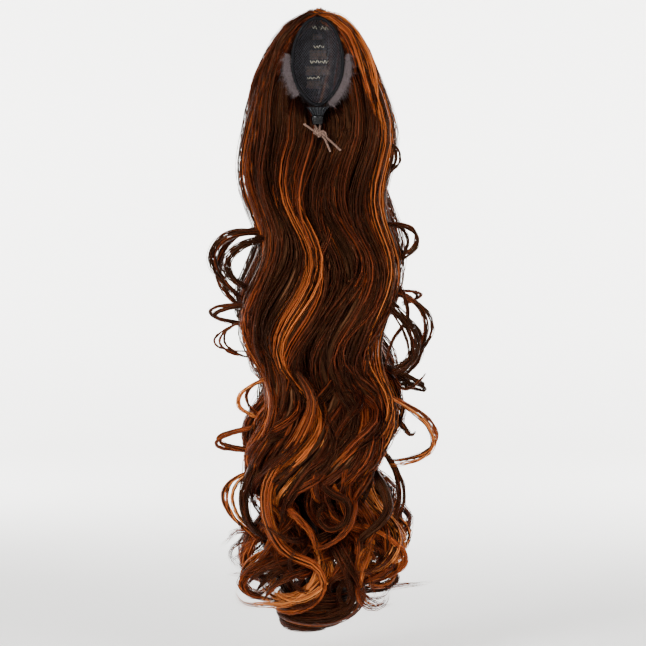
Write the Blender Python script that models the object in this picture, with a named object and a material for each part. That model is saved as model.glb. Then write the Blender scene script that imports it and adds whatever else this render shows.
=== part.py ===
"""A drawstring ponytail hairpiece: a net cup that goes over a bun, with long wavy hair sewn round it.

Metres, +Z up. The origin is the middle of the cup's mouth, which faces -Y, and the hair hangs down -Z.
Every lock of hair is worked out from one row of a table, whose lengths are shares of the sizes below.
"""
import math

import bmesh
import bpy
from mathutils import Vector

# The mouth of the net cup, an oval that is drawn to a blunt point at the bottom
MOUTH_HALF_WIDTH = 0.0265
MOUTH_RISE = 0.049
MOUTH_DROP = 0.044
MOUTH_POINT = 1.35
CUP_DEPTH = 0.028
CUP_FULLNESS = 2.4
NET_WALL = 0.0012
CLEARANCE = 0.0003
CUP_SIDES = 28
# The shares of the cup's depth that its rings lie at
CUP_RINGS = (0.0, 0.30, 0.58, 0.80, 0.94, 0.99)

# The drawstring casing round the mouth, with its middle and half height as shares of its thickness,
# and the net gathered below it
CASING_THICK = 0.0034
CASING_SEAT = 0.30
CASING_HALF_HEIGHT = 0.62
GATHER_DROP = 0.0092
GATHER_TOP_WIDTH = 0.0250
GATHER_FOOT_WIDTH = 0.0120
GATHER_THICK = 0.0036
PLEAT_RELIEF = 0.0011
PLEATS = 6

# The soft side strips and the rows of weft
STRIP_WIDTH = 0.0072
STRIP_THICK = 0.0024
WEFT_THICK = 0.0022

# The cord lock, its two bores and the drawstring
CORD_LOCK_WIDTH = 0.0142
CORD_LOCK_DEPTH = 0.0094
CORD_LOCK_HEIGHT = 0.0096
CORD_LOCK_BORE = 0.0034
BORE_SPACING = 0.0058
CORD = 0.0024
KNOT_THICK = 0.0074
KNOT_FRONT = 0.40

# The hair: how far it falls below the origin, how wide and deep the tail is, and its locks
FALL = 0.632
HOOD_GAP = 0.0022
LEAST_ROOT_DEPTH = 0.006
TAIL_HALF_WIDTH = 0.084
TAIL_FRONT = -0.004
TAIL_DEPTH = 0.104
LOCK_THICK = 0.0285
SWING = 0.020
WAVE_LENGTH = 0.185
WAVES_ADDED = 0.6
HANG_START = 0.078
ROOT_SWEEP = 0.3
ROOT_PULL = 0.150
HANG_PULL = 0.070
CURL_THICK = 0.0078

# How finely the locks are faceted
LOCK_STEPS = 18
CROWN_STEPS = 5
LOCK_SIDES = 5
CURL_STEPS = 6
CURL_SIDES = 4

# Where the hair that wraps the cup ends and the free tail begins
TAIL_TOP = -0.094

# How wide the tail hangs, one row for each level: a share of the fall and of the full half width
TAIL_OUTLINE = ((0.0, 1.0), (0.45, 1.0), (0.68, 0.86), (0.82, 1.0), (0.92, 0.94), (1.0, 0.60))


def material(name, colour, roughness, metallic=0.0):
    made = bpy.data.materials.new(name)
    made.use_nodes = True
    shader = made.node_tree.nodes["Principled BSDF"]
    shader.inputs["Base Color"].default_value = (*colour, 1.0)
    shader.inputs["Roughness"].default_value = roughness
    shader.inputs["Metallic"].default_value = metallic
    made.diffuse_color = (*colour, 1.0)
    return made


def put(name, mesh, look):
    piece = bpy.data.objects.new(name, mesh)
    bpy.context.scene.collection.objects.link(piece)
    piece.data.materials.append(look)
    return piece


def loft(name, rings, look):
    """A closed skin through rings of as many points each, with a flat cap on the first and the last."""
    build = bmesh.new()
    loops = [[build.verts.new(point) for point in ring] for ring in rings]
    for lower, upper in zip(loops, loops[1:]):
        for i in range(len(lower)):
            j = (i + 1) % len(lower)
            build.faces.new((lower[i], lower[j], upper[j], upper[i]))
    build.faces.new(loops[0][::-1])
    build.faces.new(loops[-1])
    bmesh.ops.recalc_face_normals(build, faces=build.faces)
    mesh = bpy.data.meshes.new(name)
    build.to_mesh(mesh)
    build.free()
    return put(name, mesh, look)


def ring_round(centre, along, side, half_wide, half_thick, sides):
    """An oval ring of points across the direction along, its wide way along side."""
    across = along.cross(side).normalized()
    wide = across.cross(along).normalized()
    turns = [2 * math.pi * (i + 0.5) / sides for i in range(sides)]
    return [centre + wide * half_wide * math.cos(a) + across * half_thick * math.sin(a) for a in turns]


def directions(points):
    """The direction of a path at each of its points."""
    last = len(points) - 1
    return [(points[min(i + 1, last)] - points[max(i - 1, 0)]).normalized() for i in range(last + 1)]


def tube_rings(points, half_sizes, sides):
    """Rings along a path that don't twist, each as thick as half_sizes gives."""
    aims = directions(points)
    side = aims[0].orthogonal().normalized()
    rings = []
    for point, aim, half in zip(points, aims, half_sizes):
        side = (side - aim * side.dot(aim)).normalized()
        rings.append(ring_round(point, aim, side, half, half, sides))
    return rings


def mouth_point(turn, spread, depth=0.0, scale=1.0):
    """A point on the mouth's outline, turn degrees from the top towards +X, spread outside it."""
    angle = math.radians(turn)
    over, up = math.sin(angle), math.cos(angle)
    pointed = MOUTH_POINT if up < 0 else 1.0
    wide = (MOUTH_HALF_WIDTH + spread) * scale
    tall = ((MOUTH_DROP if up < 0 else MOUTH_RISE) + spread) * scale
    return Vector((math.copysign(abs(over) ** pointed, over) * wide, depth, up * tall))


def cup_scale(depth_share):
    """How much of the mouth's size is left at a share of the cup's depth."""
    return max(0.0, 1.0 - depth_share**CUP_FULLNESS) ** (1.0 / CUP_FULLNESS)


def cup_depth_at(x, z, spread):
    """How deep the cup's outside, grown by spread, lies behind the point x, z."""
    low, high = 0.0, 1.0
    for _ in range(40):
        share = (low + high) / 2
        pointed = MOUTH_POINT if z < 0 else 1.0
        tall = ((MOUTH_DROP if z < 0 else MOUTH_RISE) + spread) * cup_scale(share)
        wide = (MOUTH_HALF_WIDTH + spread) * cup_scale(share)
        inside = (z / tall) ** 2 + (abs(x) / wide) ** (2 / pointed) < 1.0
        low, high = (share, high) if inside else (low, share)
    return low * (CUP_DEPTH + spread)


def cup_rings(spread, sides, shares):
    """Rings of the cup's surface, grown by spread, from its mouth towards its bottom."""
    return [
        [
            mouth_point(360 * i / sides, spread, share * (CUP_DEPTH + spread), cup_scale(share))
            for i in range(sides)
        ]
        for share in shares
    ]


def net_cup(look):
    """The cup: an open bowl of net whose inner and outer skins meet at the mouth."""
    inner = cup_rings(0.0, CUP_SIDES, CUP_RINGS)
    outer = cup_rings(NET_WALL, CUP_SIDES, CUP_RINGS)
    return loft("net_cup", inner[::-1] + outer, look)


def drawstring_casing(look):
    """The hem that the drawstring runs in, a flat tube round the mouth in front of the net's edge."""
    sides, steps = 6, 36
    build = bmesh.new()
    loops = []
    centre_y = -CASING_THICK / 2 - CLEARANCE
    for step in range(steps):
        turn = 360 * step / steps
        centre = mouth_point(turn, CASING_THICK * CASING_SEAT, centre_y)
        along = mouth_point(turn + 1, 0.0) - mouth_point(turn - 1, 0.0)
        half_height = CASING_THICK * CASING_HALF_HEIGHT
        half_thick = CASING_THICK / 2
        ring = ring_round(centre, along.normalized(), Vector((0, 1, 0)), half_thick, half_height, sides)
        loops.append([build.verts.new(point) for point in ring])
    for step in range(steps):
        here, there = loops[step], loops[(step + 1) % steps]
        for i in range(sides):
            j = (i + 1) % sides
            build.faces.new((here[i], here[j], there[j], there[i]))
    bmesh.ops.recalc_face_normals(build, faces=build.faces)
    mesh = bpy.data.meshes.new("drawstring_casing")
    build.to_mesh(mesh)
    build.free()
    return put("drawstring_casing", mesh, look)


def casing_reach():
    """How far outside the mouth the casing's outer edge lies."""
    return CASING_THICK * (CASING_SEAT + CASING_HALF_HEIGHT)


def casing_foot():
    """The height of the casing's lowest edge."""
    return -MOUTH_DROP - casing_reach()


def cord_lock_top():
    return casing_foot() - CLEARANCE - GATHER_DROP - CLEARANCE


def gathers(look):
    """The pleats that the net is pulled into between the casing and the cord lock."""
    top = casing_foot() - CLEARANCE
    across = 4 * PLEATS
    rings = []
    for row in range(4):
        down = row / 3
        width = GATHER_TOP_WIDTH + (GATHER_FOOT_WIDTH - GATHER_TOP_WIDTH) * down**0.7
        front, back = [], []
        for i in range(across + 1):
            share = i / across
            fold = math.cos(2 * math.pi * PLEATS * share)
            x = (share - 0.5) * width
            front.append(Vector((x, -GATHER_THICK / 2 - PLEAT_RELIEF * fold, top - GATHER_DROP * down)))
            back.append(Vector((x, GATHER_THICK / 2 + PLEAT_RELIEF * fold, top - GATHER_DROP * down)))
        rings.append(front + back[::-1])
    piece = loft("gathered_net", rings, look)
    for corner in piece.data.vertices:
        corner.co.y -= CASING_THICK / 2
    return piece


def strip_spread():
    """How far outside the mouth the middle of a side strip lies."""
    return casing_reach() + CLEARANCE + STRIP_WIDTH / 2


def side_strip(name, start_turn, end_turn, look):
    """A soft flat strip that lies beside the mouth, outside the casing."""
    spread = strip_spread()
    steps = 10
    rings = []
    for step in range(steps + 1):
        share = step / steps
        turn = start_turn + (end_turn - start_turn) * share
        centre = mouth_point(turn, spread, -CASING_THICK / 2)
        along = (mouth_point(turn + 1, spread) - mouth_point(turn - 1, spread)).normalized()
        full = 0.55 + 0.45 * math.sin(math.pi * share) ** 0.4
        rings.append(
            ring_round(centre, along, Vector((0, 1, 0)), STRIP_THICK / 2, STRIP_WIDTH / 2 * full, 8)
        )
    return loft(name, rings, look)


# One row for each weft behind the net: its middle height as a share of the mouth's rise, and its
# height and width as shares of the mouth's half width
WEFT_ROWS = (
    {"height": 0.66, "tall": 0.20, "wide": 0.36},
    {"height": 0.27, "tall": 0.36, "wide": 0.66},
    {"height": -0.09, "tall": 0.38, "wide": 0.94},
    {"height": -0.41, "tall": 0.30, "wide": 0.86},
)


def weft_row(number, row, look):
    """A stitched band of hair ends that crosses the outside of the net."""
    middle = row["height"] * MOUTH_RISE
    half_tall = row["tall"] * MOUTH_HALF_WIDTH / 2
    half_wide = row["wide"] * MOUTH_HALF_WIDTH / 2
    steps = 6
    rings = []
    for step in range(steps + 1):
        x = half_wide * (2 * step / steps - 1)
        ring = []
        low, high = middle - half_tall, middle + half_tall
        for z, proud in ((low, 0), (high, 0), (high, 1), (low, 1)):
            seat = cup_depth_at(x, z, NET_WALL + CLEARANCE)
            ring.append(Vector((x, seat + CLEARANCE + proud * WEFT_THICK, z)))
        rings.append(ring)
    return loft(f"weft_row_{number}", rings, look)


def cord_lock_centre():
    return Vector((0.0, -CASING_THICK / 2, cord_lock_top() - CORD_LOCK_HEIGHT / 2))


def cord_lock(look):
    """The black moulded cord lock: a waisted oval block with one bore for each end of the drawstring."""
    sides = 20
    rings = []
    for up, full in ((-0.50, 0.78), (-0.40, 0.90), (0.10, 0.92), (0.18, 1.0), (0.40, 1.0), (0.50, 0.86)):
        centre = cord_lock_centre() + Vector((0, 0, up * CORD_LOCK_HEIGHT))
        wide, deep = CORD_LOCK_WIDTH / 2 * full, CORD_LOCK_DEPTH / 2 * full
        turns = [2 * math.pi * i / sides for i in range(sides)]
        rings.append([centre + Vector((math.cos(a) * wide, math.sin(a) * deep, 0)) for a in turns])
    body = loft("cord_lock", rings, look)
    for side in (-1, 1):
        bpy.ops.mesh.primitive_cylinder_add(
            vertices=12,
            radius=CORD_LOCK_BORE / 2,
            depth=CORD_LOCK_HEIGHT * 2,
            location=cord_lock_centre() + Vector((side * BORE_SPACING / 2, 0, 0)),
        )
        bore = bpy.context.object
        bore.name = "bore_cutter"
        cut(body, bore)
    return body


def evaluated_mesh(piece):
    return bpy.data.meshes.new_from_object(piece.evaluated_get(bpy.context.evaluated_depsgraph_get()))


def combine(body, other, operation):
    """Join other to body, or cut it away, and keep the result in body."""
    step = body.modifiers.new("combine", "BOOLEAN")
    step.operation = operation
    step.solver = "MANIFOLD"
    step.object = other
    bpy.context.view_layer.update()
    mesh = evaluated_mesh(body)
    body.modifiers.clear()
    old = body.data
    body.data = mesh
    bpy.data.meshes.remove(old)
    bpy.data.objects.remove(other)


def cut(body, cutter):
    combine(body, cutter, "DIFFERENCE")


# The drawstring's ends: the few points of each route, as shares of the cord lock's width from the
# middle of its lower face: to the right, towards the front and down
CORD_ROUTES = {
    "drawstring_left": (
        (-0.204, 0.00, -0.66),
        (-0.204, 0.00, 0.00),
        (-0.13, 0.16, 0.20),
        (-0.06, 0.30, 0.34),
    ),
    "drawstring_right": (
        (0.204, 0.00, -0.66),
        (0.204, 0.00, 0.00),
        (0.17, 0.16, 0.20),
        (0.15, 0.30, 0.34),
    ),
    "drawstring_tail_left": (
        (-0.30, 0.385, 0.487),
        (-0.44, 0.37, 0.40),
        (-0.76, 0.33, 0.16),
        (-1.06, 0.28, -0.04),
    ),
    "drawstring_tail_right": (
        (0.506, 0.40, 1.071),
        (0.59, 0.39, 1.19),
        (0.78, 0.34, 1.62),
        (0.98, 0.30, 2.10),
    ),
    "drawstring_bow": (
        (0.664, 0.40, 0.949),
        (0.755, 0.39, 1.07),
        (1.24, 0.34, 1.50),
        (1.78, 0.30, 2.00),
    ),
}
# The knot's middle line, in the same shares, and how thick it is there as shares of its full thickness
KNOT_LINE = (
    (-0.28, 0.38, 0.50, 0.62),
    (-0.18, 0.40, 0.56, 1.00),
    (-0.09, 0.40, 0.61, 0.78),
    (0.00, 0.40, 0.64, 1.00),
    (0.09, 0.40, 0.67, 0.78),
    (0.19, 0.40, 0.70, 1.00),
    (0.33, 0.40, 0.75, 1.06),
    (0.47, 0.40, 0.86, 1.04),
    (0.57, 0.40, 0.99, 0.80),
)


def cord_point(right, front, down):
    foot = cord_lock_centre() - Vector((0, 0, CORD_LOCK_HEIGHT / 2))
    return foot + Vector((right, -front, -down)) * CORD_LOCK_WIDTH


def smooth_route(points, count):
    """count points on a smooth curve through the few points of a route."""
    line = []
    last = len(points) - 1
    for i in range(count):
        place = last * i / (count - 1)
        k = min(int(place), last - 1)
        u = place - k
        before, here = points[max(k - 1, 0)], points[k]
        there, after = points[k + 1], points[min(k + 2, last)]
        line.append(
            0.5
            * (
                2 * here
                + (there - before) * u
                + (2 * before - 5 * here + 4 * there - after) * u**2
                + (3 * here - before - 3 * there + after) * u**3
            )
        )
    return line


def cord_tube(name, route, look):
    """A plain round tube along one stretch of the drawstring."""
    curve = bpy.data.curves.new(name, "CURVE")
    curve.dimensions = "3D"
    curve.bevel_depth = CORD / 2
    curve.bevel_resolution = 2
    curve.use_fill_caps = True
    points = smooth_route([cord_point(*point) for point in route], 6)
    spline = curve.splines.new("POLY")
    spline.points.add(len(points) - 1)
    for knot, point in zip(spline.points, points):
        knot.co = (*point, 1.0)
    piece = bpy.data.objects.new(name, curve)
    bpy.context.scene.collection.objects.link(piece)
    curve.materials.append(look)
    return piece


def knot(look):
    """The knot that the two ends are tied in, as one ridged solid."""
    points = [cord_point(right, front, down) for right, front, down, _ in KNOT_LINE]
    halves = [KNOT_THICK / 2 * full for _, _, _, full in KNOT_LINE]
    return loft("drawstring_knot", tube_rings(points, halves, 8), look)


# One row for each main lock. It leaves the cup at root_turn degrees from the top, at root_depth of
# the cup's depth, and swings over to where it hangs: x as a share of the tail's half width and y of
# its depth, from the front. It drifts sideways by the time it ends, at a share of the fall. thick,
# swing and wave are shares of the lock thickness, the swing and the wave length, and phase is in turns
LOCK_COLUMNS = ("root_turn", "root_depth", "x", "y", "drift", "end", "thick", "swing", "wave", "phase")
LOCK_ROWS = (
    (14, 0.00, -0.78, 0.14, 0.04, 0.91, 0.95, 0.80, 1.00, 0.19),
    (-8, 0.05, 0.80, 0.14, 0.06, 0.92, 1.00, 0.75, 0.98, -0.07),
    (-60, 0.05, -0.60, 0.06, 0.02, 0.88, 0.90, 0.95, 1.04, 0.20),
    (62, 0.05, 0.60, 0.06, 0.12, 0.90, 0.90, 0.90, 1.02, -0.05),
    (-128, 0.10, -0.27, 0.05, 0.02, 0.94, 1.00, 1.20, 1.12, 0.151),
    (128, 0.10, 0.34, 0.04, 0.10, 0.89, 0.95, 1.05, 1.06, -0.01),
    (-160, 0.30, -0.08, 0.07, -0.06, 0.97, 0.95, 1.00, 1.15, 0.10),
    (162, 0.30, 0.12, 0.09, 0.06, 0.95, 0.90, 0.95, 1.10, 0.05),
    (150, 0.60, 0.22, 0.42, 0.04, 0.975, 1.10, 0.80, 1.00, 0.55),
    (4, 0.40, -0.84, 0.46, -0.02, 0.91, 1.05, 0.80, 0.96, 0.22),
    (-4, 0.45, 0.86, 0.46, 0.08, 0.92, 1.05, 0.75, 0.94, -0.04),
    (-20, 0.65, -0.72, 0.78, 0.06, 0.88, 1.05, 0.85, 0.98, 0.36),
    (20, 0.65, 0.72, 0.78, 0.02, 0.90, 1.05, 0.85, 0.96, 0.22),
    (-70, 0.80, -0.42, 0.92, 0.04, 0.92, 1.05, 0.85, 1.04, 0.46),
    (70, 0.80, 0.42, 0.92, -0.02, 0.92, 1.05, 0.85, 1.06, 0.30),
    (-8, 0.80, -0.04, 0.96, -0.04, 0.97, 1.05, 0.80, 1.10, 0.38),
)

# One row for each curl that stands out of the tail: where it leaves, how far out it goes and where it
# comes back, x as shares of the tail's half width and z of the fall, y of the depth, and its thickness
CURL_COLUMNS = ("out_x", "out_z", "far_x", "far_z", "back_x", "back_z", "y", "thick")
CURL_ROWS = (
    (-0.72, 0.290, -1.42, 0.325, -0.86, 0.420, 0.30, 1.25),
    (-0.80, 0.415, -1.42, 0.432, -0.84, 0.452, 0.34, 0.75),
    (-0.66, 0.545, -1.05, 0.585, -0.60, 0.612, 0.26, 0.80),
    (-0.60, 0.625, -1.34, 0.655, -0.52, 0.672, 0.32, 0.70),
    (-0.78, 0.705, -1.24, 0.760, -0.62, 0.832, 0.24, 0.85),
    (-0.44, 0.850, -1.02, 0.900, -0.52, 0.925, 0.20, 1.30),
    (0.86, 0.135, 1.03, 0.160, 0.78, 0.196, 0.24, 0.80),
    (0.92, 0.275, 1.32, 0.300, 0.94, 0.345, 0.30, 0.85),
    (0.92, 0.395, 1.50, 0.455, 0.92, 0.530, 0.26, 1.10),
    (0.86, 0.520, 1.42, 0.560, 0.90, 0.545, 0.40, 0.80),
    (0.90, 0.575, 1.56, 0.650, 0.86, 0.690, 0.24, 1.20),
    (0.74, 0.655, 1.14, 0.760, 0.62, 0.818, 0.34, 0.80),
    (0.60, 0.800, 1.16, 0.860, 0.48, 0.900, 0.22, 1.00),
    (0.44, 0.862, 1.06, 0.900, 0.40, 0.915, 0.42, 1.10),
)

# The roll of hair at the very end: turns of one thick lock, wound round a level line
ROLL_SHIFT = -0.08
ROLL_HALF_WIDTH = 0.033
ROLL_HEIGHT = 0.050
ROLL_THICK = 0.024
ROLL_TURNS = 1.9
ROLL_STEPS = 24


def hang_half_width(drop):
    """How far the locks spread to each side at a drop below the origin."""
    down = drop / FALL
    for (above, wide), (below, next_wide) in zip(TAIL_OUTLINE, TAIL_OUTLINE[1:]):
        if down <= below:
            u = max(0.0, (down - above) / (below - above))
            return TAIL_HALF_WIDTH * (wide + (next_wide - wide) * u * u * (3 - 2 * u))
    return TAIL_HALF_WIDTH * TAIL_OUTLINE[-1][1]


def growth(share):
    """How far the waves have opened at a share of the hanging length."""
    return 0.55 + 0.85 * share


def lock_line(row, steps):
    """The middle line of a lock, root to end, and its half thickness at each point."""
    lock = dict(zip(LOCK_COLUMNS, row))
    root = mouth_point(
        lock["root_turn"],
        HOOD_GAP + LOCK_THICK * 0.22,
        max(lock["root_depth"] * (CUP_DEPTH + LOCK_THICK * 0.5), LEAST_ROOT_DEPTH),
        cup_scale(lock["root_depth"] * 0.8),
    )
    turn = math.radians(lock["root_turn"])
    way = math.copysign(1.0, lock["x"])
    sweep = abs(math.cos(turn)) + ROOT_SWEEP
    aim = Vector((way * sweep, lock["root_depth"], -abs(math.sin(turn)))).normalized()
    drop_end = lock["end"] * FALL

    def hang(drop):
        share = (drop - HANG_START) / (FALL - HANG_START)
        turns = drop / (lock["wave"] * WAVE_LENGTH) + lock["phase"] + WAVES_ADDED * max(share, 0.0) ** 2
        angle = 2 * math.pi * turns
        reach = lock["swing"] * SWING * growth(max(share, 0.0))
        x = (lock["x"] + lock["drift"] * share) * hang_half_width(drop)
        y = TAIL_FRONT + LOCK_THICK / 2 + lock["y"] * (TAIL_DEPTH - LOCK_THICK)
        return Vector((x + reach * math.sin(angle), y + reach * 0.5 * math.cos(angle), -drop))

    start = hang(HANG_START)
    points, halves = [], []
    for step in range(CROWN_STEPS):
        u = step / CROWN_STEPS
        pull, hold = aim * ROOT_PULL * (1 + math.cos(turn)) / 2, Vector((0, 0, -HANG_PULL))
        points.append(
            root * (2 * u**3 - 3 * u**2 + 1)
            + pull * (u**3 - 2 * u**2 + u)
            + start * (3 * u**2 - 2 * u**3)
            + hold * (u**3 - u**2)
        )
        halves.append(lock["thick"] * LOCK_THICK / 2 * (0.40 + 0.60 * u**0.7))
    hang_steps = steps - CROWN_STEPS
    for step in range(hang_steps + 1):
        share = (step / hang_steps) ** 0.88
        points.append(hang(HANG_START + (drop_end - HANG_START) * share))
        halves.append(lock["thick"] * LOCK_THICK / 2 * (1.0 - 0.55 * share**2.2))
    return points, halves


def curl_line(row, steps):
    """The middle line of a curl that leaves the tail and comes back, and its half thickness."""
    curl = dict(zip(CURL_COLUMNS, row))
    y = TAIL_FRONT + curl["y"] * TAIL_DEPTH

    def place(x, z, deeper):
        return Vector((curl[x] * TAIL_HALF_WIDTH, y + deeper * CURL_THICK, -curl[z] * FALL))

    leave = place("out_x", "out_z", -0.6)
    far = place("far_x", "far_z", 0.0)
    back = place("back_x", "back_z", 0.6)
    bulge = far + (far - (leave + back) / 2) * 0.33
    spread = (leave - back) * 0.30
    points, halves = [], []
    for step in range(steps + 1):
        u = step / steps
        points.append(
            leave * (1 - u) ** 3
            + (bulge + spread) * 3 * u * (1 - u) ** 2
            + (bulge - spread) * 3 * u**2 * (1 - u)
            + back * u**3
        )
        halves.append(curl["thick"] * CURL_THICK / 2)
    return points, halves


# The dense middle of the hair, one row for each section: how far down it is as a share of the fall,
# its half width as a share of the tail's, and its half depth and middle as shares of the tail's depth
CORE_ROWS = (
    (-0.078, 0.24, 0.14, 0.36),
    (-0.040, 0.50, 0.34, 0.44),
    (0.060, 0.72, 0.40, 0.53),
    (0.140, 0.82, 0.40, 0.54),
    (0.360, 0.80, 0.39, 0.54),
    (0.580, 0.64, 0.34, 0.52),
    (0.780, 0.48, 0.28, 0.50),
    (0.930, 0.38, 0.24, 0.47),
)


def tail_core(look):
    """The dense middle of the hair, that every lock is rooted in."""
    rings = []
    for down, wide, deep, back in CORE_ROWS:
        centre = Vector((0, TAIL_FRONT + back * TAIL_DEPTH, -down * FALL))
        rings.append(
            [
                centre + Vector((math.cos(a) * wide * TAIL_HALF_WIDTH, math.sin(a) * deep * TAIL_DEPTH, 0))
                for a in (2 * math.pi * i / 10 for i in range(10))
            ]
        )
    return loft("tail_core", rings, look)


def end_roll(look):
    """The thick curl that closes the tail, hair wound round and round on the level."""
    points, halves = [], []
    for step in range(ROLL_STEPS + 1):
        share = step / ROLL_STEPS
        angle = math.pi * (0.35 + 2 * ROLL_TURNS * share)
        wide = ROLL_HALF_WIDTH * (1.0 - 0.12 * share)
        points.append(
            Vector(
                (
                    ROLL_SHIFT * TAIL_HALF_WIDTH + math.cos(angle) * wide,
                    TAIL_FRONT + 0.42 * TAIL_DEPTH - math.sin(angle) * wide * 0.85,
                    -(FALL - ROLL_THICK / 2 - (ROLL_HEIGHT - ROLL_THICK) * (1 - share)),
                )
            )
        )
        halves.append(ROLL_THICK / 2 * (1.0 - 0.25 * share))
    return loft("end_roll", tube_rings(points, halves, LOCK_SIDES), look)


def fill_pockets(body):
    """Keep the outer skin alone: a pocket that the locks shut in is filled with hair."""
    build = bmesh.new()
    build.from_mesh(body.data)
    islands, seen = [], set()
    for start in build.verts:
        if start in seen:
            continue
        seen.add(start)
        todo, island = [start], []
        while todo:
            here = todo.pop()
            island.append(here)
            for edge in here.link_edges:
                there = edge.other_vert(here)
                if there not in seen:
                    seen.add(there)
                    todo.append(there)
        islands.append(island)
    outer = max(islands, key=lambda island: max(v.co.z for v in island) - min(v.co.z for v in island))
    inner = [corner for island in islands if island is not outer for corner in island]
    bmesh.ops.delete(build, geom=inner, context="VERTS")
    build.to_mesh(body.data)
    build.free()


def block(name, low, high, look):
    rings = [
        [Vector((x, y, z)) for x, y in ((low.x, low.y), (high.x, low.y), (high.x, high.y), (low.x, high.y))]
        for z in (low.z, high.z)
    ]
    return loft(name, rings, look)


def cup_room(look):
    """The space that the cup, its casing and its wefts need inside the hair, as a cutter."""
    spread = NET_WALL + WEFT_THICK + CLEARANCE * 6
    turns = [360 * i / CUP_SIDES for i in range(CUP_SIDES)]
    front = [mouth_point(turn, HOOD_GAP + CASING_THICK, -LOCK_THICK) for turn in turns]
    lip = [mouth_point(turn, HOOD_GAP + CASING_THICK, 0.0) for turn in turns]
    return loft("cup_room", [front, lip] + cup_rings(spread, CUP_SIDES, CUP_RINGS), look)


def strip_room(name, start_turn, end_turn, look):
    """The shallow seat that a side strip lies in, as a cutter."""
    spread = strip_spread()
    rings = []
    steps = 8
    for step in range(steps + 1):
        turn = start_turn + (end_turn - start_turn) * step / steps
        inner = mouth_point(turn, spread - STRIP_WIDTH * 0.6)
        outer = mouth_point(turn, spread + STRIP_WIDTH * 0.6)
        deep = -CASING_THICK / 2 + STRIP_THICK / 2 + CLEARANCE
        rings.append(
            [
                Vector((inner.x, -LOCK_THICK, inner.z)),
                Vector((outer.x, -LOCK_THICK, outer.z)),
                Vector((outer.x, deep, outer.z)),
                Vector((inner.x, deep, inner.z)),
            ]
        )
    return loft(name, rings, look)


STRIP_TURNS = {"side_strip_left": (-72, -132), "side_strip_right": (72, 150)}


def hair(look):
    """All the hair fused into one body, hollow where the cup sits, then parted into crown and tail."""
    body = tail_core(look)
    for number, row in enumerate(LOCK_ROWS):
        points, halves = lock_line(row, LOCK_STEPS)
        combine(body, loft(f"lock_{number}", tube_rings(points, halves, LOCK_SIDES), look), "UNION")
    for number, row in enumerate(CURL_ROWS):
        points, halves = curl_line(row, CURL_STEPS)
        combine(body, loft(f"curl_{number}", tube_rings(points, halves, CURL_SIDES), look), "UNION")
    combine(body, end_roll(look), "UNION")
    fill_pockets(body)
    cut(body, cup_room(look))
    for name, (start_turn, end_turn) in STRIP_TURNS.items():
        cut(body, strip_room(f"{name}_room", start_turn, end_turn, look))
    knot_y = cord_point(0, KNOT_FRONT, 0).y + KNOT_THICK / 2 + CLEARANCE * 2
    lock_y = cord_lock_centre().y + CORD_LOCK_DEPTH / 2 + CLEARANCE * 2
    front_room = block(
        "drawstring_room",
        Vector((-CORD_LOCK_WIDTH * 1.3, -LOCK_THICK * 2, TAIL_TOP - CORD_LOCK_WIDTH)),
        Vector((CORD_LOCK_WIDTH * 2.0, max(knot_y, lock_y), 0)),
        look,
    )
    cut(body, front_room)
    far = Vector((1, 1, 1))
    crown = put("crown_hair", body.data.copy(), look)
    crown.data.materials.clear()
    crown.data.materials.append(look)
    cut(crown, block("below_crown", -far, Vector((1, 1, TAIL_TOP)), look))
    cut(body, block("above_tail", Vector((-1, -1, TAIL_TOP - CLEARANCE)), far, look))
    body.name = "tail_hair"
    return crown, body


def build_part():
    for old in list(bpy.data.objects):
        bpy.data.objects.remove(old)
    net = material("black_net", (0.012, 0.012, 0.015), 0.75)
    strip = material("grey_pile", (0.115, 0.098, 0.112), 0.95)
    weft = material("brown_weft", (0.055, 0.022, 0.011), 0.6)
    plastic = material("black_plastic", (0.006, 0.006, 0.007), 0.22)
    cord = material("taupe_cord", (0.27, 0.155, 0.115), 0.85)
    fibre = material("brown_fibre", (0.10, 0.028, 0.008), 0.42)

    net_cup(net)
    drawstring_casing(net)
    gathers(net)
    for name, (start_turn, end_turn) in STRIP_TURNS.items():
        side_strip(name, start_turn, end_turn, strip)
    for number, row in enumerate(WEFT_ROWS, 1):
        weft_row(number, row, weft)
    cord_lock(plastic)
    for name, route in CORD_ROUTES.items():
        cord_tube(name, route, cord)
    knot(cord)
    hair(fibre)


build_part()
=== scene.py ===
"""The looks of a drawstring ponytail hairpiece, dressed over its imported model. Metres, +Z up."""
import math

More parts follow.
